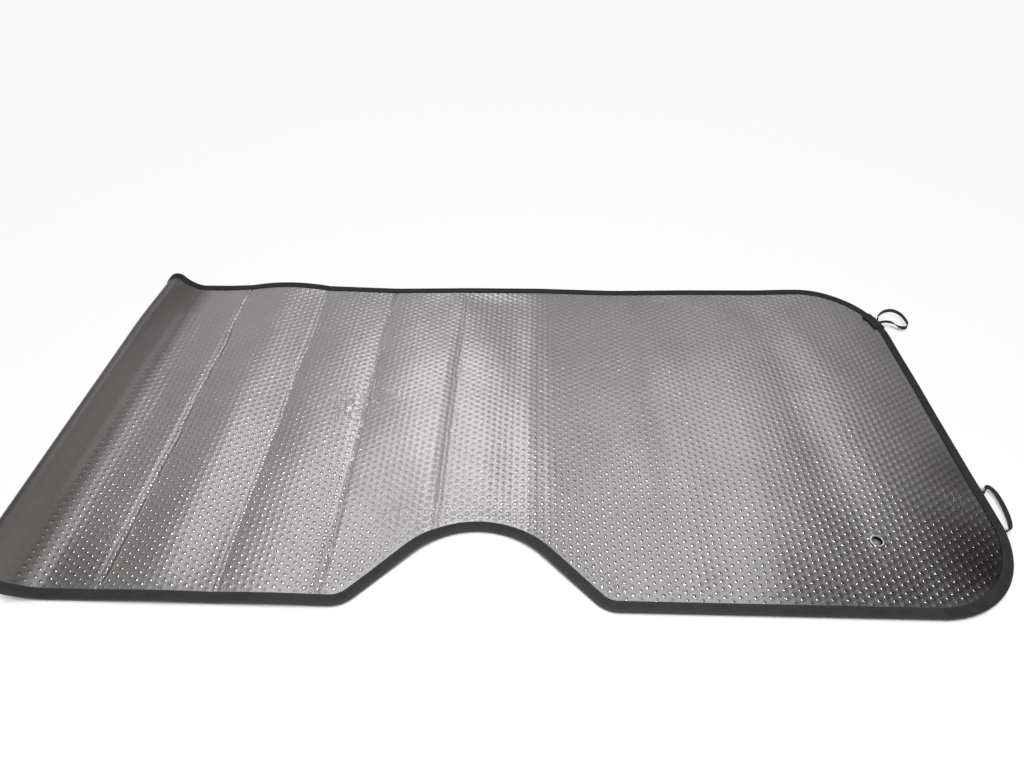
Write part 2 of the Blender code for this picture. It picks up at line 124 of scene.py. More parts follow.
def smooth_route(points: Array, samples: int) -> Array:
    """Put a smooth curve through points.

    Args:
        points: the points to go through, one in each row.
        samples: the number of samples for each span.

    Returns:
        The curve's points.
    """
    padded = np.vstack([2 * points[0] - points[1], points, 2 * points[-1] - points[-2]])
    share = np.linspace(0.0, 1.0, samples, endpoint=False)[:, None]
    spans = []
    for a, b, c, d in zip(padded, padded[1:], padded[2:], padded[3:]):
        spans.append(0.5 * (2 * b + (c - a) * share + (2 * a - 5 * b + 4 * c - d) * share ** 2
                            + (3 * b - a - 3 * c + d) * share ** 3))
    return np.vstack([*spans, points[-1:]])


@dataclass(frozen=True)
class FlatPattern:
    """The outline that the sheet is cut to, in metres."""

    length: float = 1.310
    depth: float = 0.589
    right: float = 0.653
    front_corner: float = 0.124
    rear_corner: float = 0.122
    notch_from_right: float = 0.647
    notch_depth: float = 0.100
    notch_top_radius: float = 0.117
    notch_base_radius: float = 0.036
    notch_flank_angle: float = math.radians(44)
    eyelet_from_right: float = 0.1610
    eyelet_from_front: float = 0.0945

    @property
    def left(self) -> float:
        """Return s of the left end."""
        return self.right - self.length

    @property
    def notch_centre(self) -> float:
        """Return s of the notch's middle."""
        return self.right - self.notch_from_right

    @property
    def eyelet(self) -> tuple[float, float]:
        """Return the eyelet's s and t."""
        return self.right - self.eyelet_from_right, self.eyelet_from_front

    def corner_cut(self, distance: Array, radius: float) -> Array:
        """Return how far a rounded corner cuts into the width at a distance from the sheet's end."""
        inside = np.clip(radius - distance, 0.0, radius)
        return radius - np.sqrt(radius ** 2 - inside ** 2)

    def notch_cut(self, s: Array) -> Array:
        """Work out how far the mirror notch cuts into the sheet.

        Args:
            s: places along the shade.

        Returns:
            The cut's depth at each place, 0 beside the notch.
        """
        sine, cosine = math.sin(self.notch_flank_angle), math.cos(self.notch_flank_angle)
        slope = math.tan(self.notch_flank_angle)
        top = self.notch_top_radius * sine
        arcs = (self.notch_top_radius + self.notch_base_radius) * (1 - cosine)
        flank = top + (self.notch_depth - arcs) / slope
        mouth = flank + self.notch_base_radius * sine
        away = np.abs(s - self.notch_centre)
        base = self.notch_base_radius
        near_mouth = base - np.sqrt(np.maximum(base ** 2 - np.clip(mouth - away, 0, base) ** 2, 0.0))
        on_flank = base * (1 - cosine) + (flank - away) * slope
        crown = np.sqrt(np.maximum(self.notch_top_radius ** 2 - away ** 2, 0.0))
        on_top = self.notch_depth - self.notch_top_radius + crown
        return np.select([away >= mouth, away > flank, away > top], [0.0, near_mouth, on_flank], on_top)

    def front(self, s: Array) -> Array:
        """Return t of the front edge at s."""
        to_end = np.minimum(s - self.left, self.right - s)
        return np.maximum(self.notch_cut(s), self.corner_cut(to_end, self.front_corner))

    def rear(self, s: Array) -> Array:
        """Return t of the rear edge at s."""
        to_end = np.minimum(s - self.left, self.right - s)
        return self.depth - self.corner_cut(to_end, self.rear_corner)

    def outline(self, step: float) -> Array:
        """Go round the closed outline evenly, from the front edge round by the right one.

        Args:
            step: the spacing wanted, in metres.

        Returns:
            The outline's points, one in each row.
        """
        fine = 0.0004
        front_corner, rear_corner = self.front_corner, self.rear_corner
        s = np.arange(self.left + front_corner, self.right - front_corner, fine)
        quarter = np.linspace(0, RIGHT_ANGLE, 400)
        pieces = [np.stack([s, self.front(s)], 1)]
        centres = (
            (self.right - front_corner, front_corner, front_corner, -RIGHT_ANGLE),
            (self.right - rear_corner, self.depth - rear_corner, rear_corner, 0.0),
            (self.left + rear_corner, self.depth - rear_corner, rear_corner, RIGHT_ANGLE),
            (self.left + front_corner, front_corner, front_corner, math.pi),
        )
        for centre_s, centre_t, radius, start in centres:
            turn = start + quarter
            pieces.append(np.stack([centre_s + radius * np.cos(turn), centre_t + radius * np.sin(turn)], 1))
        return spaced(np.vstack(pieces), step, closed=True)

    def right_edge(self, t: float) -> tuple[Array, Array]:
        """Find a place on the right edge, its rounded corners among it.

        Args:
            t: a place across the shade.

        Returns:
            The point and its outward normal.
        """
        corners = ((self.front_corner, self.front_corner, t < self.front_corner),
                   (self.rear_corner, self.depth - self.rear_corner, t > self.depth - self.rear_corner))
        for radius, centre_t, past in corners:
            if past:
                turn = math.asin((t - centre_t) / radius)
                normal = np.array([math.cos(turn), math.sin(turn)])
                return np.array([self.right - radius, centre_t]) + normal * radius, normal
        return np.array([self.right, t]), np.array([1.0, 0.0])

    def area(self) -> float:
        """Return the flat area in square metres."""
        s = np.linspace(self.left, self.right, 4001)
        return float((self.rear(s) - self.front(s)).mean() * self.length)


@dataclass(frozen=True)
class Crease:
    """A fold line across the shade, and how the panel to the right of it arches."""

    s: float
    rear_height: float
    arch: float
    rear_arch: float
    front_arch: float
    pinch: float


@dataclass(frozen=True)
class Lie:
    """How the shade lies: its thickness, the folded-under end and the creases, in metres.

    The swells are evenly spaced low humps or hollows, each with its height at the front and at the rear.
    """

    thickness: float = 0.003
    rest_height: float = 0.0026
    crest_height: float = 0.039
    crest_s: float = -0.567
    crest_lean: float = 0.006
    crest_radius: float = 0.010
    climb_radius: float = 0.095
    rear_climb_radius: float = 0.034
    floor_bend_radius: float = 0.014
    rear_change_start: float = 0.76
    creases: tuple[Crease, ...] = (
        Crease(-0.4750, 0.0040, 0.0012, 0.0000, 0.0000, 0.0000),
        Crease(-0.4330, 0.0060, 0.0065, 0.0072, 0.0016, 0.0003),
        Crease(-0.2945, 0.0052, 0.0055, 0.0000, 0.0016, 0.0002),
        Crease(-0.1730, 0.0008, 0.0045, 0.0000, 0.0010, 0.0002),
        Crease(-0.0440, 0.0033, 0.0045, 0.0000, 0.0010, 0.0000),
        Crease(0.0830, 0.0035, 0.0012, 0.0000, 0.0000, 0.0000),
        Crease(0.2120, 0.0000, 0.0050, 0.0000, 0.0000, 0.0000),
        Crease(0.3400, 0.0030, 0.0030, 0.0000, 0.0000, 0.0000),
        Crease(0.4680, 0.0040, 0.0045, 0.0030, 0.0000, 0.0000),
        Crease(0.6530, 0.0030, 0.0000, 0.0000, 0.0000, 0.0000),
    )
    swell_start: float = -0.470
    swell_step: float = 0.026
    swell_width: float = 0.0161
    swells: tuple[tuple[float, float], ...] = (
        (0.0000, 0.0000), (0.0003, 0.0022), (-0.0019, -0.0009), (0.0006, -0.0009), (0.0002, 0.0003),
        (-0.0013, -0.0015), (-0.0019, -0.0012), (0.0004, 0.0015), (-0.0001, 0.0007), (0.0001, 0.0000),
        (-0.0002, -0.0004), (0.0012, -0.0003), (-0.0002, 0.0009), (-0.0011, 0.0004), (-0.0008, -0.0006),
        (0.0002, -0.0012), (0.0011, 0.0008), (-0.0012, -0.0012), (-0.0019, -0.0019), (-0.0022, -0.0022),
        (-0.0017, -0.0015), (0.0016, 0.0016), (0.0015, 0.0015), (0.0004, 0.0003), (0.0002, 0.0001), (0.0002, 0.0002),
        (0.0006, 0.0006), (-0.0005, -0.0004), (0.0002, 0.0001), (-0.0011, -0.0008), (-0.0014, -0.0010),
        (0.0009, 0.0008), (0.0016, 0.0005), (0.0005, 0.0002), (0.0001, 0.0002), (0.0000, 0.0001), (0.0002, 0.0007),
        (-0.0001, 0.0002), (-0.0001, -0.0003), (0.0000, -0.0007), (-0.0001, -0.0006), (-0.0001, -0.0003),
        (-0.0001, 0.0003),
    )


@dataclass
class FoldedSheet:
    """Bends the flat pattern to the way the shade lies, in metres; shift brings a folded place to the row frame."""

    pattern: FlatPattern
    lie: Lie
    shift: Vector | Array
    pinch_width: float = 0.0040
    ridge_away: float = 0.0095
    ridge_share: float = 0.6
    edge_fade: float = 0.07
    eyelet_calm: float = 0.015
    eyelet_fade: float = 0.030
    ease_left: float = 0.0035
    ease_more: float = 0.0150
    ease_grows: tuple[float, float] = (0.10, 0.06)
    ease_ends: tuple[float, float] = (0.640, 0.03)
    ease_samples: int = 7
    ripple_height: float = 0.00035
    ripple_lengths: tuple[float, float] = (0.055, 0.24)
    ripples: int = 14
    normal_step: float = 0.0002
    outline_step: float = 0.004

    def __post_init__(self) -> None:
        """Put the creases in arrays and draw the slow ripples."""
        self.shift = np.array(self.shift)
        creases = self.lie.creases
        self.crease_s = np.array([crease.s for crease in creases])
        self.heights = np.array([(c.rear_height, c.arch, c.rear_arch, c.front_arch, c.pinch) for c in creases])
        draw = np.random.default_rng(11)
        turns = draw.uniform(0, math.pi, self.ripples)
        lengths = draw.uniform(*self.ripple_lengths, self.ripples)
        self.waves = np.stack([np.cos(turns), np.sin(turns)], 1) * (2 * math.pi / lengths)[:, None]
        self.phases = draw.uniform(0, 2 * math.pi, self.ripples)

    def standoff(self, s: Array, v: Array) -> Array:
        """Work out how far the sheet stands above its resting height.

        Args:
            s: the places' s.
            v: the places' share of the depth, from 0 at the front to 1 at the rear.

        Returns:
            The heights, in metres.
        """
        (grow_s, grow_fade), (end_s, end_fade) = self.ease_grows, self.ease_ends
        ease = self.ease_left + self.ease_more * smooth((s - grow_s) / grow_fade) * smooth((end_s - s) / end_fade)
        shares = np.linspace(-1.0, 1.0, self.ease_samples)
        return sum(self.folds(s + ease * share, v) for share in shares) / len(shares) + self.relief(s, v)

    def folds(self, s: Array, v: Array) -> Array:
        """Work out the height that the folds and the arches between them give.

        Args:
            s: the places' s.
            v: the places' share of the depth, from 0 at the front to 1 at the rear.

        Returns:
            The heights, in metres.
        """
        s = np.clip(s, self.crease_s[0], self.crease_s[-1])
        panel = np.clip(np.searchsorted(self.crease_s, s, side="right") - 1, 0, len(self.crease_s) - 2)
        left, right = self.heights[panel], self.heights[panel + 1]
        share = (s - self.crease_s[panel]) / (self.crease_s[panel + 1] - self.crease_s[panel])
        fold = (left[:, 0] + (right[:, 0] - left[:, 0]) * share) * v ** 2
        arch = left[:, 1] * 4 * v * (1 - v) + left[:, 2] * v ** 2 + left[:, 3] * (1 - v) ** 2
        return fold + arch * 4 * share * (1 - share)

    def relief(self, s: Array, v: Array) -> Array:
        """Work out the pinched crease lines and slow ripples, which fade out towards the front and rear edges.

        Args:
            s: the places' s.
            v: the places' share of the depth, from 0 at the front to 1 at the rear.

        Returns:
            The heights, in metres.
        """
        fade = smooth(v / self.edge_fade) * smooth((1 - v) / self.edge_fade)
        height = np.zeros_like(s)
        for crease_s, pinch in zip(self.crease_s, self.heights[:, 4]):
            away = np.abs(s - crease_s)
            height -= pinch * np.exp(-(away / self.pinch_width) ** 2)
            height += self.ridge_share * pinch * np.exp(-((away - self.ridge_away) / self.pinch_width) ** 2)
        for number, (front, rear) in enumerate(self.lie.swells):
            away = s - (self.lie.swell_start + number * self.lie.swell_step)
            height += (front * (1 - v) + rear * v) * np.exp(-0.5 * (away / self.lie.swell_width) ** 2)
        place = np.stack([s, v * self.pattern.depth], 1)
        from_eyelet = np.linalg.norm(place - np.array(self.pattern.eyelet), axis=1)
        height *= smooth((from_eyelet - self.eyelet_calm) / self.eyelet_fade)
        waves = np.cos(place @ self.waves.T + self.phases).sum(1) / math.sqrt(self.ripples)
        return fade * (height + self.ripple_height * waves)

    def middle(self, flat: Array) -> Array:
        """Bend the sheet's middle surface, before the shift to the row frame.

        Args:
            flat: places on the flat pattern, as rows of s and t.

        Returns:
            Places of the middle surface, one in each row.
        """
        s, t = flat.T
        lie = self.lie
        v = np.clip(t / self.pattern.depth, 0.0, 1.0)
        rear = smooth((v - lie.rear_change_start) / (1 - lie.rear_change_start))
        climb_radius = lie.climb_radius + (lie.rear_climb_radius - lie.climb_radius) * rear
        crest_x = lie.crest_s + lie.crest_lean * rear
        start_z = lie.rest_height + self.standoff(np.full_like(s, lie.creases[0].s), v)
        top = lie.crest_height - lie.thickness / 2
        reach = climb_radius + lie.crest_radius
        angle = np.arccos(1 - (top - start_z) / reach)
        centre_z = top - lie.crest_radius
        start_x = crest_x + reach * np.sin(angle)
        drop = centre_z - lie.rest_height - lie.floor_bend_radius
        flat = np.stack([s, t, lie.rest_height + self.standoff(s, v)], 1)

        climb = climb_radius * angle
        crest = lie.crest_radius * (angle + RIGHT_ANGLE)
        bend = lie.floor_bend_radius * RIGHT_ANGLE
        run = start_x - s
        turn = np.clip(run / climb_radius, 0, math.pi)
        heading = angle - (run - climb) / lie.crest_radius
        drop_x = crest_x - lie.crest_radius
        fallen = run - climb - crest
        floor_turn = (fallen - drop) / lie.floor_bend_radius
        bend_x, bend_z = drop_x + lie.floor_bend_radius, lie.rest_height + lie.floor_bend_radius
        cases = [run <= 0, run <= climb, run <= climb + crest, fallen <= drop, fallen <= drop + bend]
        x = np.select(cases, [s, start_x - climb_radius * np.sin(turn),
                              crest_x + lie.crest_radius * np.sin(heading), drop_x,
                              bend_x - lie.floor_bend_radius * np.cos(floor_turn)], bend_x + fallen - drop - bend)
        z = np.select(cases, [flat[:, 2], start_z + climb_radius * (1 - np.cos(turn)),
                              centre_z + lie.crest_radius * np.cos(heading), centre_z - fallen,
                              bend_z - lie.floor_bend_radius * np.sin(floor_turn)], lie.rest_height)
        return np.stack([x, t, z], 1)

    def normal(self, flat: Array) -> Array:
        """Work out the sheet's upward normals, measured over a short step each way.

        Args:
            flat: places on the flat pattern, as rows of s and t.

        Returns:
            Unit normals, one in each row.
        """
        along, across = (self.normal_step, 0.0), (0.0, self.normal_step)
        return unit(np.cross(self.middle(flat + along) - self.middle(flat - along),
                             self.middle(flat + across) - self.middle(flat - across)))

    def place(self, flat: Array, height: Array | float = 0.0) -> Array:
        """Set points of the flat pattern on the sheet as it lies.

        Args:
            flat: places on the flat pattern, as rows of s and t.
            height: the height off the middle surface, one for all or one for each.

        Returns:
            The places in the row frame, one in each row.
        """
        height = np.broadcast_to(np.asarray(height, float), len(flat))
        return self.middle(flat) + self.normal(flat) * height[:, None] + self.shift

    def edge_distance(self, flat: Array) -> Array:
        """Measure roughly how far points lie inside the outline, to its nearest point.

        Args:
            flat: places on the flat pattern, as rows of s and t.

        Returns:
            The distances, in metres.
        """
        outline = self.pattern.outline(self.outline_step)
        best = np.full(len(flat), math.inf)
        for start in range(0, len(outline), 64):
            part = outline[start:start + 64]
            away = np.hypot(flat[:, None, 0] - part[:, 0], flat[:, None, 1] - part[:, 1])
            best = np.minimum(best, away.min(1))
        return best

    def eyelet_frame(self) -> Matrix:
        """Set the eyelet upright on the sheet.

        Returns:
            The matrix from the eyelet's own frame to the row frame.
        """
        flat, step = np.array([self.pattern.eyelet]), (0.001, 0.0)
        normal = Vector(self.normal(flat)[0])
        along = Vector((self.place(flat + step) - self.place(flat - step))[0]).normalized()
        frame = Matrix((along, normal.cross(along), normal)).transposed().to_4x4()
        frame.translation = Vector(self.place(flat)[0])
        return frame


def add_object(name: str, data: bpy.types.ID) -> bpy.types.Object:
    """Make an object that shows some data, linked to the scene.

    Args:
        name: the object's name.
        data: its mesh, lamp or camera.

    Returns:
        The new object.
    """
    thing = bpy.data.objects.new(name, data)
    bpy.context.scene.collection.objects.link(thing)
    return thing


def make_mesh(name: str, points: Array, faces: list[tuple[int, ...]], material: bpy.types.Material,
              uvs: Array | None = None, hard_edge: float | None = None) -> bpy.types.Object:
    """Make a named mesh object, shaded smooth.

    Args:
        name: the piece's name.
        points: the vertices, one in each row.
        faces: vertex indices of each face.
        material: what it is made of.
        uvs: a place on the flat pattern for each vertex, kept as the mesh's UV map.
        hard_edge: the angle above which an edge is shaded sharp, in degrees.

    Returns:
        The new object, linked to the scene.
    """
    mesh = bpy.data.meshes.new(name)
    mesh.from_pydata(np.asarray(points).tolist(), [], faces)
    mesh.validate()
    if uvs is not None:
        layer = mesh.uv_layers.new(name=UV_NAME)
        corners = np.zeros(len(mesh.loops), dtype=np.int32)
        mesh.loops.foreach_get("vertex_index", corners)
        layer.data.foreach_set("uv", uvs[corners].astype(np.float32).ravel())
    mesh.shade_smooth()
    if hard_edge is not None:
        mesh.set_sharp_from_angle(angle=math.radians(hard_edge))
    mesh.update()
    mesh.materials.append(material)
    return add_object(name, mesh)


def set_weights(piece: bpy.types.Object, name: str, values: Array) -> None:
    """Keep one number for each vertex as a named attribute that materials read."""
    attribute = piece.data.attributes.new(name, "FLOAT", "POINT")
    attribute.data.foreach_set("value", values.astype(np.float32))


def tube_faces(rings: int, around: int, closed: bool) -> list[tuple[int, ...]]:
    """List the faces of a tube of equal rings, closed on itself or capped.

    Args:
        rings: the number of rings.
        around: the number of points in each ring.
        closed: whether the last ring joins the first.

    Returns:
        Vertex indices of each face.
    """
    faces = []
    for ring in range(rings if closed else rings - 1):
        following = (ring + 1) % rings
        for i in range(around):
            j = (i + 1) % around
            faces.append((ring * around + i, ring * around + j, following * around + j, following * around + i))
    if not closed:
        faces.append(tuple(range(around)))
        faces.append(tuple(reversed(range((rings - 1) * around, rings * around))))
    return faces


def tube_uvs(along: Array, around: Array) -> Array:
    """Return a UV place for each point of a tube, from how far along and how far round it lies."""
    return np.stack(np.broadcast_arrays(along[:, None], around[None, :]), -1).reshape(-1, 2)


def face_outward(piece: bpy.types.Object) -> None:
    """Turn every face of a closed mesh to point outward.

    Args:
        piece: the mesh object.
    """
    mesh_data = bmesh.new()
    mesh_data.from_mesh(piece.data)
    bmesh.ops.recalc_face_normals(mesh_data, faces=mesh_data.faces)
    mesh_data.to_mesh(piece.data)
    mesh_data.free()


class Nodes:
    """Adds and joins the nodes of one shader or node-group tree."""

    def __init__(self, tree: bpy.types.NodeTree) -> None:
        """Work on a tree."""
        self.tree = tree

    def add(self, kind: str, inputs: dict | None = None, **settings: object) -> bpy.types.Node:
        """Add a node.

        Args:
            kind: the node's Blender type name.
            inputs: values or sockets for its inputs, by name or number.
            settings: the node's own settings.

        Returns:
            The new node.
        """
        node = self.tree.nodes.new(kind)
        for name, value in settings.items():
            setattr(node, name, value)
        for key, value in (inputs or {}).items():
            if isinstance(value, bpy.types.NodeSocket):
                self.tree.links.new(value, node.inputs[key])
            else:
                node.inputs[key].default_value = value
        return node

    def math(self, operation: str, first: object, second: object = 0.0) -> bpy.types.NodeSocket:
        """Return the result of a Math node."""
        return self.add("ShaderNodeMath", {0: first, 1: second}, operation=operation).outputs[0]

    def vector(self, operation: str, first: object, second: object | None = None) -> bpy.types.NodeSocket:
        """Add a Vector Math node.

        Args:
            operation: the operation's Blender name.
            first: a value or socket.
            second: another, where the operation has two.

        Returns:
            The result's socket.
        """
        inputs = {0: first} if second is None else {0: first, 1: second}
        node = self.add("ShaderNodeVectorMath", inputs, operation=operation)
        return node.outputs["Value" if operation == "LENGTH" else "Vector"]

    def ramp(self, value: object, low: float, high: float, out_low: float = 0.0, out_high: float = 1.0,
             style: str = "SMOOTHSTEP") -> bpy.types.NodeSocket:
        """Ease a value from one range to another.

        Args:
            value: the value's socket.
            low: where the range starts.
            high: where it ends.
            out_low: the result at its start.
            out_high: the result at its end.
            style: how it goes from one to the other.

        Returns:
            The result's socket.
        """
        node = self.add("ShaderNodeMapRange", {"Value": value, "From Min": low, "From Max": high,
                                               "To Min": out_low, "To Max": out_high}, interpolation_type=style)
        return node.outputs["Result"]

    def mix(self, share: object, first: object, second: object) -> bpy.types.NodeSocket:
        """Return a colour mixed between two others."""
        return self.add("ShaderNodeMix", {0: share, 6: first, 7: second}, data_type="RGBA").outputs[2]

    def attribute(self, name: str) -> bpy.types.NodeSocket:
        """Return a named number that the mesh keeps for each vertex."""
        return self.add("ShaderNodeAttribute", attribute_name=name).outputs["Fac"]

    def group(self, tree: bpy.types.NodeTree, inputs: dict[str, object]) -> bpy.types.Node:
        """Place a shared effect, with values or sockets for its inputs by name."""
        return self.add("ShaderNodeGroup", inputs, node_tree=tree)

    def join(self, node: bpy.types.Node, sockets: dict[str, bpy.types.NodeSocket]) -> None:
        """Join sockets to a node's inputs by name."""
        for name, socket in sockets.items():
            self.tree.links.new(socket, node.inputs[name])

    def noise(self, place: object, scale: float, detail: float = 3.0, roughness: float = 0.5) -> bpy.types.NodeSocket:
        """Return fractal noise at a place."""
        return self.add("ShaderNodeTexNoise", {"Vector": place, "Scale": scale, "Detail": detail,
                                               "Roughness": roughness}).outputs[0]

    def bump(self, height: object, distance: float, strength: object = 1.0,
             normal: object | None = None) -> bpy.types.NodeSocket:
        """Bend a normal by a height.

        Args:
            height: the height's socket.
            distance: how far a height of 1 stands up, in metres.
            strength: the share of the effect.
            normal: the normal to bend, where it isn't the surface's own.

        Returns:
            The bent normal's socket.
        """
        inputs = {"Height": height, "Distance": distance, "Strength": strength}
        if normal is not None:
            inputs["Normal"] = normal
        return self.add("ShaderNodeBump", inputs).outputs[0]


def new_group(name: str, inputs: dict[str, object], outputs: dict[str, str]) -> tuple[
        Nodes, bpy.types.NodeOutputs, bpy.types.Node]:
    """Start a shader node group, whose first input is the place on the surface.

    Args:
        name: the group's name.
        inputs: for each further input its value when nothing is joined to it, a number or a colour.
        outputs: the socket type of each output.

    Returns:
        The group's nodes, the sockets that its inputs come in by, and its output node.
    """
    tree = bpy.data.node_groups.new(name, "ShaderNodeTree")
    tree.interface.new_socket(name="Place", in_out="INPUT", socket_type="NodeSocketVector")
    for label, value in inputs.items():
        kind = "NodeSocketFloat" if isinstance(value, float) else "NodeSocketColor"
        tree.interface.new_socket(name=label, in_out="INPUT", socket_type=kind).default_value = value
    for label, kind in outputs.items():
        tree.interface.new_socket(name=label, in_out="OUTPUT", socket_type=kind)
    nodes = Nodes(tree)
    return nodes, nodes.add("NodeGroupInput").outputs, nodes.add("NodeGroupOutput")


class EffectGroups:
    """The shader effects that several materials share, each built once as a node group."""

    def __init__(self) -> None:
        """Build every group."""
        self.bubbles = self.build_bubbles()
        self.crinkle = self.build_crinkle()
        self.weave = self.build_weave()
        self.fold_line = self.build_fold_line()
        self.patina = self.build_patina()

    def build_bubbles(self) -> bpy.types.NodeTree:
        """Build the lattice of bubbles: a height that falls off round each one, from a place on the flat pattern.

        Returns:
            The node group.
        """
        nodes, given, result = new_group(
            "bubble_lattice",
            {"Pitch": 0.01, "Flat Radius": 0.0030, "Foot Radius": 0.0044, "Cap Radius": 0.00270, "Cap Reach": 0.00205},
            {"Height": "NodeSocketFloat", "Cap": "NodeSocketFloat"})
        pitch = given["Pitch"]
        cell = nodes.add("ShaderNodeCombineXYZ", {"X": nodes.math("MULTIPLY", pitch, math.sqrt(3)), "Y": pitch,
                                                  "Z": 1.0}).outputs[0]
        radii = []
        for offset in ((0.5, 0.5, 0.0), (1.0, 1.0, 0.0)):
            share = nodes.vector("ADD", nodes.vector("DIVIDE", given["Place"], cell), offset)
            centred = nodes.vector("SUBTRACT", nodes.vector("FRACTION", share), (0.5, 0.5, 0.0))
            flat = nodes.vector("MULTIPLY", nodes.vector("MULTIPLY", centred, cell), (1.0, 1.0, 0.0))
            radii.append(nodes.vector("LENGTH", flat))
        radius = nodes.math("MINIMUM", radii[0], radii[1])
        height = nodes.ramp(radius, given["Foot Radius"], given["Flat Radius"])
        nearest = nodes.math("MINIMUM", radius, given["Cap Reach"])
        cap_radius = given["Cap Radius"]
        fallen = nodes.math("SUBTRACT", nodes.math("MULTIPLY", cap_radius, cap_radius),
                            nodes.math("MULTIPLY", nearest, nearest))
        cap = nodes.math("SQRT", fallen)
        nodes.join(result, {"Height": height, "Cap": cap})
        return nodes.tree

    def build_crinkle(self) -> bpy.types.NodeTree:
        """Build crushed film: sharp random creases, more of them where the mask says so.

        Returns:
            The node group.
        """
        nodes, given, result = new_group("crinkle", {"Scale": 95.0, "Mask": 0.0},
                                         {"Height": "NodeSocketFloat", "Fine": "NodeSocketFloat"})
        place = given["Place"]
        wander = nodes.add("ShaderNodeTexNoise", {"Vector": place, "Scale": 26.0, "Detail": 3.0})
        moved = nodes.vector("ADD", place, nodes.vector("MULTIPLY", wander.outputs["Color"], (0.02, 0.02, 0.0)))
        cells = nodes.add("ShaderNodeTexVoronoi", {"Vector": moved, "Scale": given["Scale"]},
                          feature="DISTANCE_TO_EDGE")
        ridges = nodes.ramp(cells.outputs["Distance"], 0.09, 0.0)
        height = nodes.math("MULTIPLY", ridges, given["Mask"])
        fine = nodes.noise(place, 420.0, 4.0, 0.6)
        nodes.join(result, {"Height": height, "Fine": fine})
        return nodes.tree

    def build_fold_line(self) -> bpy.types.NodeTree:
        """Build one pinched fold: a wandering groove with a low ridge on each side, at a distance along the sheet.

        Returns:
            The node group.
        """
        nodes, given, result = new_group("fold_line", {"Line": 0.0, "Width": 0.0016}, {"Height": "NodeSocketFloat"})
        parts = nodes.add("ShaderNodeSeparateXYZ", {0: given["Place"]})
        seed = nodes.add("ShaderNodeCombineXYZ", {"X": given["Line"], "Y": parts.outputs[1]}).outputs[0]
        wander = nodes.ramp(nodes.noise(seed, 11.0, 4.0, 0.62), 0.25, 0.75, -0.0042, 0.0042, style="LINEAR")
        off_line = nodes.math("SUBTRACT", parts.outputs[0], given["Line"])
        away = nodes.math("ABSOLUTE", nodes.math("SUBTRACT", off_line, wander))
        width = given["Width"]
        groove = nodes.ramp(nodes.math("DIVIDE", away, width), 0.0, 1.4, -1.0, 0.0)
        beside = nodes.math("ABSOLUTE", nodes.math("SUBTRACT", nodes.math("DIVIDE", away, width), 2.4))
        ridge = nodes.ramp(beside, 0.0, 1.2, 0.65, 0.0)
        broken = nodes.ramp(nodes.noise(given["Place"], 48.0, 2.0), 0.30, 0.62, 0.15, 1.0)
        height = nodes.math("MULTIPLY", nodes.math("ADD", groove, ridge), broken)
        nodes.join(result, {"Height": height})
        return nodes.tree

    def build_weave(self) -> bpy.types.NodeTree:
        """Build a plain weave: threads that pass over and under each other, and a share for painted shade in the dips
        between them.

        Returns:
            The node group.
        """
        nodes, given, result = new_group("tape_weave", {"Threads Along": 1500.0, "Threads Across": 1500.0},
                                         {"Height": "NodeSocketFloat", "Shade": "NodeSocketFloat"})
        parts = nodes.add("ShaderNodeSeparateXYZ", {0: given["Place"]})
        along = nodes.math("MULTIPLY", parts.outputs[0], given["Threads Along"])
        across = nodes.math("MULTIPLY", parts.outputs[1], given["Threads Across"])
        ridge_along = nodes.math("ABSOLUTE", nodes.math("SINE", nodes.math("MULTIPLY", along, math.pi)))
        ridge_across = nodes.math("ABSOLUTE", nodes.math("SINE", nodes.math("MULTIPLY", across, math.pi)))
        parity = nodes.math("MODULO", nodes.math("ADD", nodes.math("FLOOR", along), nodes.math("FLOOR", across)), 2.0)
        over = nodes.math("ABSOLUTE", parity)
        height = nodes.math("ADD", nodes.math("MULTIPLY", ridge_along, over),
                            nodes.math("MULTIPLY", ridge_across, nodes.math("SUBTRACT", 1.0, over)))
        shade = nodes.ramp(height, 0.1, 0.9, 0.55, 1.0)
        nodes.join(result, {"Height": height, "Shade": shade})
        return nodes.tree

    def build_patina(self) -> bpy.types.NodeTree:
        """Build slow changes of tone over a surface, with a little dust.

        Returns:
            The node group.
        """
        grey = (0.5, 0.5, 0.5, 1.0)
        nodes, given, result = new_group("patina", {"Scale": 9.0, "Base": grey, "Tint": grey},
                                         {"Colour": "NodeSocketColor", "Mask": "NodeSocketFloat"})
        cloud = nodes.add("ShaderNodeTexNoise", {"Vector": given["Place"], "Scale": given["Scale"],
                                                 "Detail": 5.0, "Roughness": 0.6}).outputs[0]
        mask = nodes.ramp(cloud, 0.38, 0.64)
        colour = nodes.mix(mask, given["Base"], given["Tint"])
        nodes.join(result, {"Colour": colour, "Mask": mask})
        return nodes.tree


def start_material(name: str) -> tuple[bpy.types.Material, Nodes, bpy.types.Node]:
    """Start a material.

    Args:
        name: the material's name.

    Returns:
        The material, its nodes and its Principled shader.
    """
    material = bpy.data.materials.new(name)
    material.use_nodes = True
    nodes = Nodes(material.node_tree)
    return material, nodes, material.node_tree.nodes["Principled BSDF"]


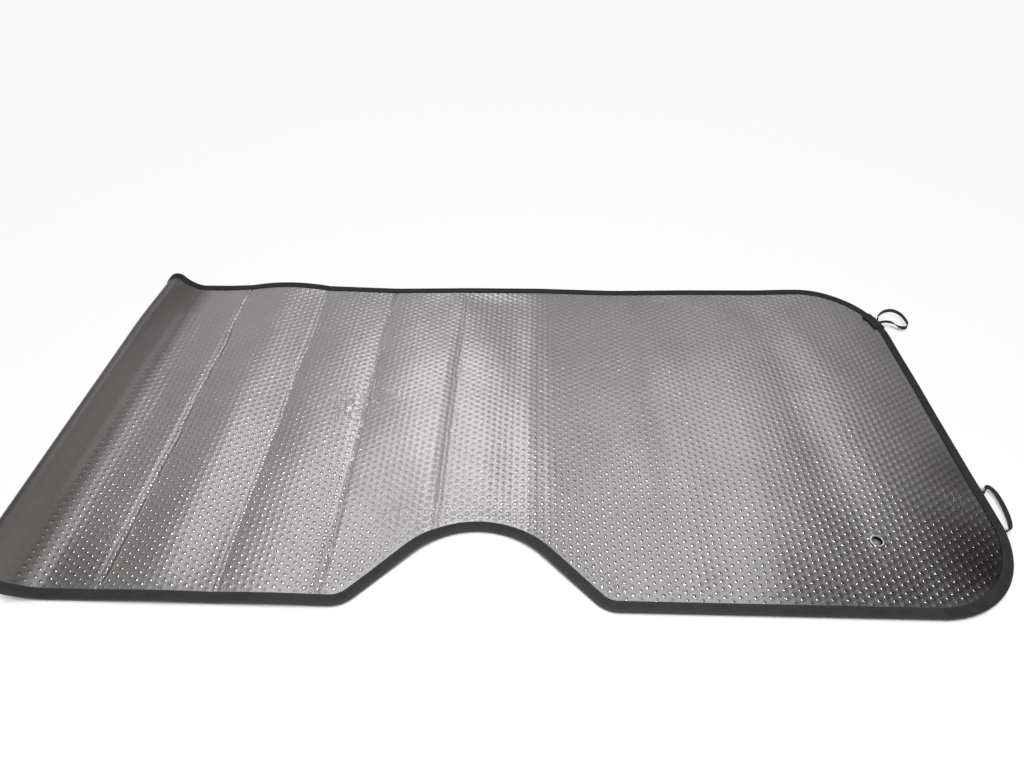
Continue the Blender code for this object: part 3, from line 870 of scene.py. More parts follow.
@dataclass(frozen=True)
class FoilFinish:
    """Metallised film: its colours as linear RGB, one of them a dark colour for painted shade, its gloss, and the size
    of its bubbles, in metres.

    Each fold is a pressed line across the shade: its place along it, counted from the eyelet, and its depth.
    """

    base: Colour = (0.560, 0.540, 0.543, 1.0)
    tint: Colour = (0.528, 0.502, 0.525, 1.0)
    roughness: float = 0.30
    rolled_roughness: float = 0.56
    # Dark colour for painted shade on the foil.
    painted_shade_colour: Colour = (0.118, 0.108, 0.104, 1.0)
    bubble_height: float = 0.00009
    crinkle_height: float = 0.0005
    grain_height: float = 0.00012
    grain_strength: float = 0.6
    film_gloss: float = 0.3
    film_roughness: float = 0.12
    pitch: float = 0.010
    folds: tuple[tuple[float, float], ...] = ((-0.9250, 0.0009), (-0.7865, 0.0006), (-0.6650, 0.0007),
                                              (-0.5360, 0.0003))

    def build(self, effects: EffectGroups) -> bpy.types.Material:
        """Build the foil material.

        Args:
            effects: the shared shader effects.

        Returns:
            The material.
        """
        material, nodes, shader = start_material("bubble_foil")
        place = nodes.add("ShaderNodeUVMap", uv_map=UV_NAME).outputs[0]
        lattice = nodes.group(effects.bubbles, {"Place": place, "Pitch": self.pitch})
        crinkle = nodes.group(effects.crinkle, {"Place": place, "Mask": nodes.attribute("crushed")})
        patina = nodes.group(effects.patina, {"Place": place, "Base": self.base, "Tint": self.tint})
        uneven = nodes.ramp(nodes.noise(place, 95.0, 1.0), 0.30, 0.70, 0.84, 1.10)
        capped = nodes.bump(lattice.outputs["Cap"], 1.0, nodes.math("MULTIPLY", nodes.attribute("glinting"), uneven))
        bubbles = nodes.bump(lattice.outputs["Height"], self.bubble_height, nodes.attribute("puffed"), capped)
        # Painted shade: the foil colour is mixed towards a dark colour over the rolled band and at a few spots.
        colour = nodes.mix(nodes.attribute("painted_shade_weight"), patina.outputs["Colour"], self.painted_shade_colour)
        creased = nodes.bump(crinkle.outputs["Height"], self.crinkle_height, 1.0, bubbles)
        for line, depth in self.folds:
            fold = nodes.group(effects.fold_line, {"Place": place, "Line": line})
            creased = nodes.bump(fold.outputs["Height"], depth, 1.0, creased)
        fine = nodes.bump(crinkle.outputs["Fine"], self.grain_height, self.grain_strength, creased)
        grain = nodes.ramp(crinkle.outputs["Fine"], 0.35, 0.65, -0.04, 0.06)
        rolled = nodes.ramp(nodes.attribute("rolled"), 0.0, 1.0, self.roughness, self.rolled_roughness)
        rough = nodes.math("ADD", grain, rolled)
        shader.inputs["Metallic"].default_value = 1.0
        shader.inputs["Coat Weight"].default_value = self.film_gloss
        shader.inputs["Coat Roughness"].default_value = self.film_roughness
        nodes.join(shader, {"Base Color": colour, "Roughness": rough, "Normal": fine})
        return material


@dataclass(frozen=True)
class ClothFinish:
    """Woven narrow cloth: its colours as linear RGB, the darkest for painted shade between the threads, and its
    threads to the metre.
    """

    name: str
    base: Colour
    tint: Colour
    threads_along: float
    threads_across: float
    # Painted shade in the dips between the threads.
    between: Colour = (0.004, 0.004, 0.005, 1.0)
    patina_scale: float = 55.0
    weave_height: float = 0.00012
    weave_strength: float = 0.8
    roughness: tuple[float, float] = (0.66, 0.82)
    specular: float = 0.35
    sheen: float = 0.06
    sheen_roughness: float = 0.45

    def build(self, effects: EffectGroups) -> bpy.types.Material:
        """Build the cloth material.

        Args:
            effects: the shared shader effects.

        Returns:
            The material.
        """
        material, nodes, shader = start_material(self.name)
        place = nodes.add("ShaderNodeUVMap", uv_map=UV_NAME).outputs[0]
        weave = nodes.group(effects.weave, {"Place": place, "Threads Along": self.threads_along,
                                            "Threads Across": self.threads_across})
        patina = nodes.group(effects.patina, {"Place": place, "Scale": self.patina_scale, "Base": self.base,
                                              "Tint": self.tint})
        # Painted shade: the colour darkens where the weave dips between threads.
        colour = nodes.mix(weave.outputs["Shade"], self.between, patina.outputs["Colour"])
        normal = nodes.bump(weave.outputs["Height"], self.weave_height, self.weave_strength)
        shader.inputs["Sheen Weight"].default_value = self.sheen
        shader.inputs["Sheen Roughness"].default_value = self.sheen_roughness
        shader.inputs["Specular IOR Level"].default_value = self.specular
        rough = nodes.ramp(patina.outputs["Mask"], 0.0, 1.0, *self.roughness)
        nodes.join(shader, {"Base Color": colour, "Roughness": rough, "Normal": normal})
        return material


BINDING_TAPE = ClothFinish("woven_binding_tape", (0.009, 0.009, 0.011, 1), (0.015, 0.015, 0.018, 1), 1100, 900)
SEWING_THREAD = ClothFinish("sewing_thread", (0.020, 0.020, 0.022, 1), (0.030, 0.030, 0.034, 1), 2400, 600)
WOVEN_ELASTIC = ClothFinish("woven_elastic", (0.008, 0.008, 0.009, 1), (0.014, 0.014, 0.016, 1), 1700, 1000)


@dataclass(frozen=True)
class PlatedFinish:
    """Bright plating with fine wear, and a dark colour that paints shade inside the bore: its colours as linear RGB.
    """

    base: Colour = (0.86, 0.86, 0.85, 1.0)
    tint: Colour = (0.74, 0.73, 0.70, 1.0)
    # Painted shade inside the eyelet's bore.
    bore: Colour = (0.030, 0.029, 0.028, 1.0)
    patina_scale: float = 420.0
    roughness: tuple[float, float] = (0.14, 0.26)
    scratch_scale: float = 2600.0
    scratch_depth: float = 0.00003

    def build(self, effects: EffectGroups) -> bpy.types.Material:
        """Build the metal material.

        Args:
            effects: the shared shader effects.

        Returns:
            The material.
        """
        material, nodes, shader = start_material("plated_eyelet_metal")
        place = nodes.add("ShaderNodeTexCoord").outputs["Object"]
        patina = nodes.group(effects.patina, {"Place": place, "Scale": self.patina_scale, "Base": self.base,
                                              "Tint": self.tint})
        # Painted shade: the metal goes dark inside the bore.
        colour = nodes.mix(nodes.attribute("bore_painted_shade"), patina.outputs["Colour"], self.bore)
        rough = nodes.ramp(patina.outputs["Mask"], 0.0, 1.0, *self.roughness)
        scratches = nodes.bump(nodes.noise(place, self.scratch_scale, 2.0), self.scratch_depth, 0.5)
        shader.inputs["Metallic"].default_value = 1.0
        nodes.join(shader, {"Base Color": colour, "Roughness": rough, "Normal": scratches})
        return material


@dataclass
class FilmPatch:
    """Part of the film while it is still flat; its first points also have a twin on the lower face."""

    flat: Array
    crown: Array
    faces: list[tuple[int, ...]]
    outers: list[tuple[int, ...]]
    twins: int

    def rim(self) -> list[tuple[int, int]]:
        """Find the edges that only one of the outer polygons has.

        Returns:
            The edges, each as it runs in its polygon.
        """
        edges: dict[tuple[int, int], tuple[int, int]] = {}
        for outer in self.outers:
            for a, b in zip(outer, [*outer[1:], outer[0]]):
                key = (min(a, b), max(a, b))
                if key in edges:
                    del edges[key]
                else:
                    edges[key] = (a, b)
        return list(edges.values())


@dataclass
class FoilFilm:
    """The bubble foil: hexagonal cells, each a low bubble on the upper face, and a plain lower face.

    A spot is a soft round place where the film is crushed, or where shade is painted on it: its s, t, radius and
    strength. The three flatter regions, where the bubbles' tops glint less, are each the share that is lost, the place
    and the fade.
    """

    sheet: FoldedSheet
    pitch: float = 0.010
    crown_radius: float = 0.0034
    crown_height: float = 0.00016
    bubble_low: float = 0.0009
    crown_rim: float = 0.93
    eyelet_hole_radius: float = 0.0064
    eyelet_flat_radius: float = 0.0098
    at_eyelet: float = 0.7
    under_binding: float = 0.0122
    binding_fade: float = 0.004
    binding_lift: float = 0.0004
    crush_scatter: float = 0.00022
    lowest_upper: float = 0.0010
    lowest_lower: float = 0.0001
    edge_gap: float = 0.0004
    crest_start: float = -0.562
    crest_end: float = -0.592
    flap_start: float = -0.624
    roll_start: float = -0.495
    roll_fade: float = 0.035
    bubble_end: float = -0.522
    bubble_fade: float = 0.022
    set_normals_from: float = -0.53
    lattice_columns: tuple[int, int] = (-160, 60)
    lattice_rows: tuple[int, int] = (-20, 70)
    cell_margin: float = 0.001
    rear_flatter: tuple[float, float, float] = (0.70, 0.38, 0.14)
    middle_flatter: tuple[float, float, float] = (0.45, -0.07, 0.12)
    right_flatter: tuple[float, float, float, float] = (0.75, 0.50, 0.10, 0.08)
    rolled_painted_shade: tuple[float, float] = (0.99, 0.82)
    rolled_shade_span: tuple[float, float] = (0.05, 0.35)
    rolled_bubble_loss: float = 0.96
    crushed_bubble_loss: float = 0.8
    crush_spots: tuple[Spot, ...] = (
        (-0.196, 0.305, 0.030, 1.0), (-0.160, 0.318, 0.024, 1.0), (0.345, 0.545, 0.022, 0.5),
        (0.400, 0.520, 0.026, 0.5), (0.300, 0.560, 0.020, 0.5), (-0.105, 0.115, 0.024, 0.4),
        (-0.450, 0.085, 0.016, 0.7), (0.600, 0.060, 0.030, 0.3), (0.610, 0.150, 0.030, 0.3),
    )
    # Spots of painted shade: places along the front edge and by the right end where the film is drawn darker.
    painted_shade_spots: tuple[Spot, ...] = (
        (0.615, 0.060, 0.095, 1.00), (0.500, 0.020, 0.100, 0.60), (0.420, 0.010, 0.080, 0.66),
        (-0.470, 0.000, 0.090, 0.50), (-0.330, 0.010, 0.060, 0.20), (0.640, 0.190, 0.060, 0.50),
    )

    def cells(self) -> Array:
        """Set out the bubbles on the flat pattern, without the one at the eyelet.

        Returns:
            The centres, as rows of s and t.
        """
        pattern = self.sheet.pattern
        column = self.pitch * math.sqrt(3) / 2
        eyelet_s, eyelet_t = self.sheet.pattern.eyelet
        i, j = np.meshgrid(np.arange(*self.lattice_columns), np.arange(*self.lattice_rows), indexing="ij")
        s = eyelet_s + i * column
        t = eyelet_t + (j + (i % 2) / 2) * self.pitch
        s, t = s.ravel(), t.ravel()
        margin = self.cell_margin
        inside = (s > pattern.left + margin) & (s < pattern.right - margin)
        inside &= np.hypot(s - eyelet_s, t - eyelet_t) > self.pitch / 2
        s, t = s[inside], t[inside]
        within = (t > pattern.front(s) + margin) & (t < pattern.rear(s) - margin)
        return np.stack([s[within], t[within]], 1)

    def clamp(self, flat: Array) -> Array:
        """Move places just inside the outline.

        Args:
            flat: places on the flat pattern, as rows of s and t.

        Returns:
            The moved places.
        """
        pattern, gap = self.sheet.pattern, self.edge_gap
        s = np.clip(flat[:, 0], pattern.left + gap, pattern.right - gap)
        return np.stack([s, np.clip(flat[:, 1], pattern.front(s) + gap, pattern.rear(s) - gap)], 1)

    def shared(self, flat: Array, split: int) -> tuple[Array, Array]:
        """Join the points that neighbouring cells share.

        Args:
            flat: the points cell by cell, as rows of s and t.
            split: how many parts each edge of a cell is split into.

        Returns:
            The joined points, and the joined point that each given one became.
        """
        grid = np.array([self.pitch / math.sqrt(12), self.pitch / 2]) / split
        keys = np.round((flat - self.sheet.pattern.eyelet) / grid).astype(np.int64)
        _, first, became = np.unique(keys, axis=0, return_index=True, return_inverse=True)
        return flat[first], became.reshape(-1)

    def bubble_patch(self, centres: Array) -> FilmPatch:
        """Make the cells that each carry a bubble: a flat crown inside six sloping sides.

        Args:
            centres: the cells' centres, as rows of s and t.

        Returns:
            The patch.
        """
        count, turns = len(centres), np.arange(6) * math.pi / 3
        around = np.stack([np.cos(turns), np.sin(turns)], 1)
        corners, corner_of = self.shared((centres[:, None] + self.pitch / math.sqrt(3) * around).reshape(-1, 2), 1)
        eyelet = np.array(self.sheet.pattern.eyelet)
        away = np.hypot(*(corners - eyelet).T)[:, None]
        push = np.where(away < self.pitch * self.at_eyelet, self.eyelet_hole_radius / np.maximum(away, 1e-6), 1.0)
        corners = self.clamp(eyelet + (corners - eyelet) * push)
        rings = self.clamp((centres[:, None] + self.crown_radius * around).reshape(-1, 2))
        first = len(corners)
        faces, outers = [], corner_of.reshape(count, 6).tolist()
        for cell, outer in enumerate(outers):
            ring = [first + count + cell * 6 + k for k in range(6)]
            for k in range(6):
                n = (k + 1) % 6
                faces.append((first + cell, ring[k], ring[n]))
                faces.append((ring[k], outer[k], outer[n], ring[n]))
        crown = np.concatenate([np.zeros(first), np.ones(count), np.full(count * 6, self.crown_rim)])
        return FilmPatch(np.vstack([corners, centres, rings]), crown, faces, outers, first)

    def plain_patch(self, centres: Array, split: int) -> FilmPatch:
        """Make cells without bubbles, cut finely enough to roll smoothly.

        Args:
            centres: the cells' centres, as rows of s and t.
            split: how many parts each edge of a cell is split into.

        Returns:
            The patch.
        """
        radius = self.pitch / math.sqrt(3)
        steps = [(i / split, j / split) for i in range(split + 1) for j in range(split + 1 - i)]
        index = {(round(i * split), round(j * split)): n for n, (i, j) in enumerate(steps)}
        places = []
        for k in range(6):
            one, other = k * math.pi / 3, (k + 1) * math.pi / 3
            places += [(radius * (i * math.cos(one) + j * math.cos(other)),
                        radius * (i * math.sin(one) + j * math.sin(other))) for i, j in steps]
        joined, became = self.shared((centres[:, None] + np.array(places)).reshape(-1, 2), split)
        small = [(index[i, j], index[i + 1, j], index[i, j + 1])
                 for i in range(split) for j in range(split - i)]
        small += [(index[i + 1, j], index[i + 1, j + 1], index[i, j + 1])
                  for i in range(split) for j in range(split - i - 1)]
        sectors = became.reshape(len(centres) * 6, len(steps)).tolist()
        faces = [tuple(sector[corner] for corner in face) for sector in sectors for face in small]
        return FilmPatch(self.clamp(joined), np.zeros(len(joined)), faces, faces, len(joined))

    def masks(self, flat: Array) -> dict[str, Array]:
        """Work out the weights that shape and finish the film at each place, from 0 to 1.

        Args:
            flat: places on the flat pattern, as rows of s and t.

        Returns:
            How puffed, crushed, rolled and glinting the film is, its painted shade, and how far inside the binding.
        """
        s, t = flat.T
        eyelet_s, eyelet_t = self.sheet.pattern.eyelet
        inner = smooth((self.sheet.edge_distance(flat) - self.under_binding) / self.binding_fade)
        inner = np.where(np.hypot(s - eyelet_s, t - eyelet_t) < self.eyelet_flat_radius, 0.0, inner)
        crushed = self.spots(self.crush_spots, flat) * inner
        rolled = smooth((self.roll_start - s) / self.roll_fade)
        past_bubbles = self.rolled_bubble_loss * smooth((self.bubble_end - s) / self.bubble_fade)
        puffed = inner * (1 - past_bubbles) * (1 - self.crushed_bubble_loss * crushed)
        # Painted shade: the film is darkened over the rolled-up band and at the listed spots.
        painted_shade_weight = np.interp(t, self.rolled_shade_span, self.rolled_painted_shade) * rolled
        painted_shade_weight = np.maximum(painted_shade_weight, self.spots(self.painted_shade_spots, flat))
        return {"inner": inner, "crushed": crushed, "rolled": rolled, "puffed": puffed, "painted_shade_weight": painted_shade_weight,
                "glinting": puffed * self.glints(flat)}

    def glints(self, flat: Array) -> Array:
        """Work out how round the bubbles' tops are: full at the front, flatter at the rear and at the right edge.

        Args:
            flat: places on the flat pattern, as rows of s and t.

        Returns:
            Shares from 0 to 1.
        """
        s, t = flat.T
        loss, rear_t, fade = self.rear_flatter
        shares = 1 - loss * smooth((t - rear_t) / fade)
        loss, middle_s, width = self.middle_flatter
        shares *= 1 - loss * np.exp(-((s - middle_s) / width) ** 2)
        loss, right_s, right_t, fade = self.right_flatter
        return shares * (1 - loss * smooth((s - right_s) / fade) * smooth((t - right_t) / fade))

    def spots(self, rows: tuple[Spot, ...], flat: Array) -> Array:
        """Find the strongest of several soft round spots at each place.

        Args:
            rows: the spots, each as s, t, radius and strength.
            flat: places on the flat pattern, as rows of s and t.

        Returns:
            The strengths, from 0 to 1.
        """
        found = np.zeros(len(flat))
        for s, t, radius, strength in rows:
            away = np.hypot(flat[:, 0] - s, flat[:, 1] - t)
            found = np.maximum(found, strength * np.exp(-(away / radius) ** 2))
        return found

    def build(self, material: bpy.types.Material) -> bpy.types.Object:
        """Build the film.

        Args:
            material: the foil material.

        Returns:
            The piece, which stands for the CAD sheet.
        """
        centres = self.cells()
        s = centres[:, 0]
        patches = [self.bubble_patch(centres[s >= self.crest_start])]
        for chosen, split in (((s < self.crest_start) & (s > self.crest_end), 3),
                              ((s <= self.crest_end) & (s > self.flap_start), 2), (s <= self.flap_start, 1)):
            patches.append(self.plain_patch(centres[chosen], split))
        points, normals, faces, flat, weights, start = [], [], [], [], [], 0
        draw = np.random.default_rng(5)
        for patch in patches:
            masks = self.masks(patch.flat)
            height = self.bubble_low + (1 - masks["inner"]) * self.binding_lift
            height += patch.crown * self.crown_height * masks["puffed"]
            height += draw.normal(0.0, self.crush_scatter, len(height)) * masks["crushed"]
            twins = patch.flat[:patch.twins]
            upper = self.sheet.place(patch.flat, height)
            lower = self.sheet.place(twins, -self.sheet.lie.thickness / 2)
            upper[:, 2] = np.maximum(upper[:, 2], self.lowest_upper)
            lower[:, 2] = np.maximum(lower[:, 2], self.lowest_lower)
            points += [upper, lower]
            curled = patch.flat[:, :1] < self.set_normals_from
            normals += [self.sheet.normal(patch.flat) * curled, np.zeros((patch.twins, 3))]
            flat += [patch.flat, twins]
            weights += [masks, {name: np.zeros(patch.twins) for name in masks}]
            low = start + len(patch.flat)
            faces += [tuple(start + corner for corner in face) for face in patch.faces]
            faces += [tuple(low + corner for corner in reversed(outer)) for outer in patch.outers]
            faces += [(start + b, start + a, low + a, low + b) for a, b in patch.rim()]
            start = low + patch.twins
        piece = make_mesh("foil_film", np.vstack(points), faces, material,
                          np.vstack(flat) - np.array(self.sheet.pattern.eyelet))
        piece.data.normals_split_custom_set_from_vertices(np.vstack(normals).tolist())
        for name in ("puffed", "crushed", "painted_shade_weight", "rolled", "glinting"):
            set_weights(piece, name, np.concatenate([part[name] for part in weights]))
        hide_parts("foil_sheet")
        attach(piece, ROOT)
        return piece


@dataclass
class Binding:
    """The tape that is folded round the whole edge and sewn through, in metres."""

    sheet: FoldedSheet
    width: float = 0.0115
    inner: float = 0.0018
    outer: float = 0.0026
    gap: float = 0.0003
    thickness: float = 0.0008
    step: float = 0.0020
    stitch_pitch: float = 0.0040
    stitch_inset: float = 0.0092
    pucker: float = 0.00007
    pucker_places: int = 420
    most_swell: float = 0.00012
    thread_radius: float = 0.00022
    thread_lift: float = 0.00020
    thread_sunk: float = 0.00012
    thread_reach: float = 0.36
    thread_sides: int = 6
    lowest_thread: float = 0.00002

    def profile(self) -> Array:
        """Draw the tape's section.

        Returns:
            Rows of distance out from the edge, height, and how much the tape puckers there.
        """
        reach = self.gap + self.thickness
        middle = (self.inner + self.outer) / 2
        half = (
            (-self.width + 0.0004, self.inner, 0.0), (-self.width, middle, 0.3),
            (-self.width + 0.0003, self.outer, 1.0), (-0.0103, self.outer + 0.00004, 1.0),
            (-self.stitch_inset, self.outer - 0.00016, 1.0), (-0.0081, self.outer + 0.00004, 1.0),
            (-0.0058, self.outer + 0.00008, 1.0),
            (-0.0034, self.outer + 0.00006, 1.0), (-0.0012, self.outer, 0.8), (0.0002, self.outer - 0.0002, 0.5),
            (reach - 0.0003, self.outer - 0.0008, 0.2), (reach, self.outer - 0.0017, 0.0),
        )
        upper = np.array(half)
        lower = upper[::-1] * np.array([1.0, -1.0, 1.0])
        inside = np.array([(self.gap, -self.inner, 0.0), (self.gap, self.inner, 0.0)])
        return np.vstack([upper, lower, inside])

    def build(self, material: bpy.types.Material) -> bpy.types.Object:
        """Build the binding.

        Args:
            material: the tape material.

        Returns:
            The piece, which stands for the CAD binding.
        """
        points = self.sheet.pattern.outline(self.step)
        outward, travelled = closed_line_directions(points)[1], distance_along(points)
        profile = self.profile()
        place = points[:, None, :] + outward[:, None, :] * profile[None, :, :1]
        draw = np.random.default_rng(3)
        places = self.pucker_places
        slow = np.interp(travelled, np.linspace(0, travelled[-1], places), draw.normal(0, self.pucker, places))
        stitched = self.pucker * np.cos(2 * math.pi * travelled / self.stitch_pitch)
        swell = (slow + stitched)[:, None] * profile[None, :, 2] * np.sign(profile[None, :, 1])
        height = profile[None, :, 1] + np.minimum(np.abs(swell), self.most_swell) * np.sign(swell)
        folded = self.sheet.place(place.reshape(-1, 2), height.ravel())
        folded[:, 2] = np.maximum(folded[:, 2], 0.0)
        piece = make_mesh("binding_tape_sewn", folded, tube_faces(len(points), len(profile), closed=True), material,
                          tube_uvs(travelled, distance_along(profile[:, :2])), 50)
        face_outward(piece)
        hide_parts("edge_binding")
        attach(piece, ROOT)
        return piece

    def build_stitches(self, material: bpy.types.Material) -> bpy.types.Object:
        """Build the row of stitches on both faces of the tape.

        Args:
            material: the thread material.

        Returns:
            The thread, which rides on the shade.
        """
        line = self.sheet.pattern.outline(self.stitch_pitch)
        along, outward = closed_line_directions(line)
        seam = line - outward * self.stitch_inset
        half_length = self.stitch_pitch * self.thread_reach
        sections = ((-1.0, 0.15), (-0.55, 0.9), (0.0, 1.0), (0.55, 0.9), (1.0, 0.15))
        turns = np.arange(self.thread_sides) * 2 * math.pi / self.thread_sides
        places, heights = [], []
        for side in (1, -1):
            for reach, size in sections:
                for turn in turns:
                    lift = self.thread_lift * size * (0.45 + 0.5 * math.sin(turn))
                    places.append(seam + (along * half_length * reach
                                          + outward * self.thread_radius * size * math.cos(turn)))
                    heights.append(side * (self.outer - self.thread_sunk + lift))
        flat = np.stack(places, 1).reshape(-1, 2)
        points = self.sheet.place(flat, np.tile(heights, len(seam)))
        points[:, 2] = np.maximum(points[:, 2], self.lowest_thread)
        one = tube_faces(len(sections), len(turns), closed=False)
        size = len(sections) * len(turns)
        faces = [tuple(start * size + index for index in face) for start in range(len(seam) * 2) for face in one]
        piece = make_mesh("seam_thread", points, faces, material, flat)
        face_outward(piece)
        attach(piece, ROOT)
        return piece


@dataclass
class ElasticLoop:
    """A flat woven elastic band, bent into a loop that stands on its edge."""

    sheet: FoldedSheet
    name: str
    node: str
    anchor_t: float
    reach: float
    route: tuple[tuple[float, float, float], ...]
    twists: tuple[float, ...]
    width: float = 0.0055
    thickness: float = 0.0012
    end_clearance: float = 0.0007
    ribs: int = 5
    ribbed_share: float = 0.93
    rib_depth: float = 0.14
    samples: int = 12
    lowest: float = 0.0001

    def section(self) -> Array:
        """Draw the band's ribbed section.

        Returns:
            Rows of offsets: across the width and through the thickness.
        """
        half, thick = self.width / 2, self.thickness / 2
        across = np.linspace(-half, half, self.ribs * 2 + 1) * self.ribbed_share
        ribs = np.abs(np.sin(np.linspace(0, self.ribs * math.pi, len(across))))
        ribbed = thick * (1 - self.rib_depth + self.rib_depth * ribs)
        upper = np.stack([across, ribbed], 1)
        return np.vstack([upper, [(half, 0.0)], upper[::-1] * np.array([1.0, -1.0]), [(-half, 0.0)]])

    def build(self, material: bpy.types.Material) -> bpy.types.Object:
        """Build the loop.

        Args:
            material: the elastic material.

        Returns:
            The piece, which stands for its CAD node.
        """
        start, normal = self.sheet.pattern.right_edge(self.anchor_t)
        tangent = np.array([-normal[1], normal[0]])
        edge = self.sheet.place(start[None])[0]
        points = []
        for out, along, height in self.route:
            foot = normal * (self.reach + self.end_clearance + out) + tangent * along
            points.append((edge[0] + foot[0], edge[1] + foot[1], edge[2] + height))
        line = smooth_route(np.array(points), self.samples)
        twists = np.radians(smooth_route(np.array(self.twists, float)[:, None], self.samples)[:, 0])
        along = unit(np.gradient(line, axis=0))
        sideways = unit(np.cross(along, np.array([0.0, 0.0, 1.0])))
        upward = np.cross(sideways, along)
        cos, sin = np.cos(twists)[:, None], np.sin(twists)[:, None]
        wide, thin = upward * cos - sideways * sin, sideways * cos + upward * sin
        section = self.section()
        rings = line[:, None, :] + wide[:, None, :] * section[None, :, :1] + thin[:, None, :] * section[None, :, 1:]
        rings[..., 2] = np.maximum(rings[..., 2], self.lowest)
        piece = make_mesh(self.name, rings.reshape(-1, 3), tube_faces(len(line), len(section), closed=False), material,
                          tube_uvs(distance_along(line), section[:, 0]), 60)
        face_outward(piece)
        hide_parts(self.node)
        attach(piece, ROOT)
        return piece


@dataclass
class LoopTab:
    """The doubled tape over the edge that the rear loop is sewn into, in metres."""

    sheet: FoldedSheet
    from_rear: float = 0.080
    length: float = 0.034
    width: float = 0.0150
    inner: float = 0.0029
    thickness: float = 0.0012
    gap: float = 0.0014
    sections: int = 36
    pucker: float = 0.10
    pucker_turns: float = 34

    @property
    def reach(self) -> float:
        """Return how far the tab stands out from the sheet's edge."""
        return self.gap + self.thickness

    def build(self, material: bpy.types.Material) -> bpy.types.Object:
        """Build the tab.

        Args:
            material: the tape material.

        Returns:
            The piece, which stands for the CAD tab.
        """
        outer, reach = self.inner + self.thickness, self.reach
        upper = np.array([(-self.width + 0.0004, self.inner), (-self.width, self.inner + 0.0006),
                          (-self.width + 0.0004, outer), (-0.0110, outer + 0.0001), (-0.0075, outer - 0.0002),
                          (-0.0040, outer + 0.0001), (-0.0008, outer), (reach - 0.0006, outer - 0.0007),
                          (reach, outer - 0.0024)])
        profile = np.vstack([upper, upper[::-1] * np.array([1.0, -1.0]), [(self.gap, -self.inner)],
                             [(self.gap, self.inner)]])
        centre = self.sheet.pattern.depth - self.from_rear
        shares = np.linspace(-0.5, 0.5, self.sections)
        flat, height, uvs = [], [], []
        for share in shares:
            point, normal = self.sheet.pattern.right_edge(centre + self.length * share)
            pucker = 1 - self.pucker * (1 - math.cos(share * self.pucker_turns)) * 0.5
            for out, lift in profile:
                flat.append(point + normal * out)
                height.append(lift if abs(lift) <= self.inner else lift * pucker)
                uvs.append((self.length * share, out + lift))
        points = self.sheet.place(np.array(flat), np.array(height))
        points[:, 2] = np.maximum(points[:, 2], 0.0)
        piece = make_mesh("rear_loop_tab", points, tube_faces(len(shares), len(profile), closed=False), material,
                          np.array(uvs), 50)
        face_outward(piece)
        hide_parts("loop_tab_rear")
        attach(piece, ROOT)
        return piece


@dataclass
class Eyelet:
    """The metal eyelet, turned with a rounded flange and a rolled lower lip, in metres."""

    sheet: FoldedSheet
    bore: float = 0.0055
    wall: float = 0.0005
    flange_radius: float = 0.0088
    crown: float = 0.0006
    seat: float = 0.0018
    washer: float = 0.0004
    lip_radius: float = 0.0072
    lip_height: float = 0.0003
    flange_roundness: float = 0.6
    # Where the painted shade in the bore starts to fade, and over what width.
    dark_from: float = 0.0007
    dark_fade: float = 0.0006
    flange_points: int = 17
    lowest: float = 0.0001
    sides: int = 96

    def profile(self) -> Array:
        """Draw the turned section.

        Returns:
            Rows of radius and height.
        """
        barrel = self.bore + self.wall
        low = -self.seat - self.washer - self.lip_height
        bulge = np.linspace(math.pi, 0.0, self.flange_points)
        middle = (self.bore + self.flange_radius) / 2
        across = (self.flange_radius - self.bore) / 2
        raised = self.seat + 0.00005 + self.crown * np.sin(bulge) ** self.flange_roundness
        flange = np.stack([middle + across * np.cos(bulge), raised], 1)
        below = ((self.flange_radius, self.seat), (barrel, self.seat), (barrel, low), (self.lip_radius, low),
                 (self.lip_radius, low - self.wall * 0.6), (self.lip_radius - 0.0003, low - self.wall),
                 (self.bore, low - self.wall))
        return np.vstack([flange, below])

    def build(self, material: bpy.types.Material) -> bpy.types.Object:
        """Build the eyelet.

        Args:
            material: the plated metal.

        Returns:
            The piece, which stands for the CAD eyelet.
        """
        frame = self.sheet.eyelet_frame()
        profile = self.profile()
        turns = np.arange(self.sides) * 2 * math.pi / self.sides
        radius, height = profile[None, :, 0], profile[None, :, 1]
        local = np.stack(np.broadcast_arrays(radius * np.cos(turns)[:, None], radius * np.sin(turns)[:, None],
                                             height), -1).reshape(-1, 3)
        rotation, shift = np.array(frame.to_3x3()), np.array(frame.translation)
        points = local @ rotation.T + shift
        points[:, 2] = np.maximum(points[:, 2], self.lowest)
        piece = make_mesh("eyelet_turned", points, tube_faces(self.sides, len(profile), closed=True), material,
                          hard_edge=40)
        from_axis = np.hypot(local[:, 0], local[:, 1])
        # Painted shade weight: full within the bore, fading out just outside it.
        set_weights(piece, "bore_painted_shade", smooth((self.bore + self.dark_from - from_axis) / self.dark_fade))
        face_outward(piece)
        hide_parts("eyelet")
        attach(piece, ROOT)
        return piece


@dataclass(frozen=True)
class Softbox:
    """A soft rectangular lamp: its place, its width and length, its power in watts, and how it is turned."""

    name: str
    place: tuple[float, float, float]
    size: tuple[float, float]
    power: float
    turn: float = 0.0
    tilt: float = 0.0


SOFTBOXES = (
    Softbox("middle_softbox", (-0.252, 1.475, 1.5), (0.29, 1.13), 2.60, 0.264),
    Softbox("right_softbox", (0.818, 1.19, 1.5), (0.914, 1.573), 3.25, -0.110),
    Softbox("left_softbox", (-0.789, 0.82, 1.5), (0.489, 1.241), 2.10, -0.194),
    Softbox("top_softbox", (0.300, 0.100, 1.35), (0.06, 0.05), 0.9),
    Softbox("key_softbox", (0.066, -0.62, 1.02), (0.28, 0.18), 19.0, tilt=math.radians(38)),
)


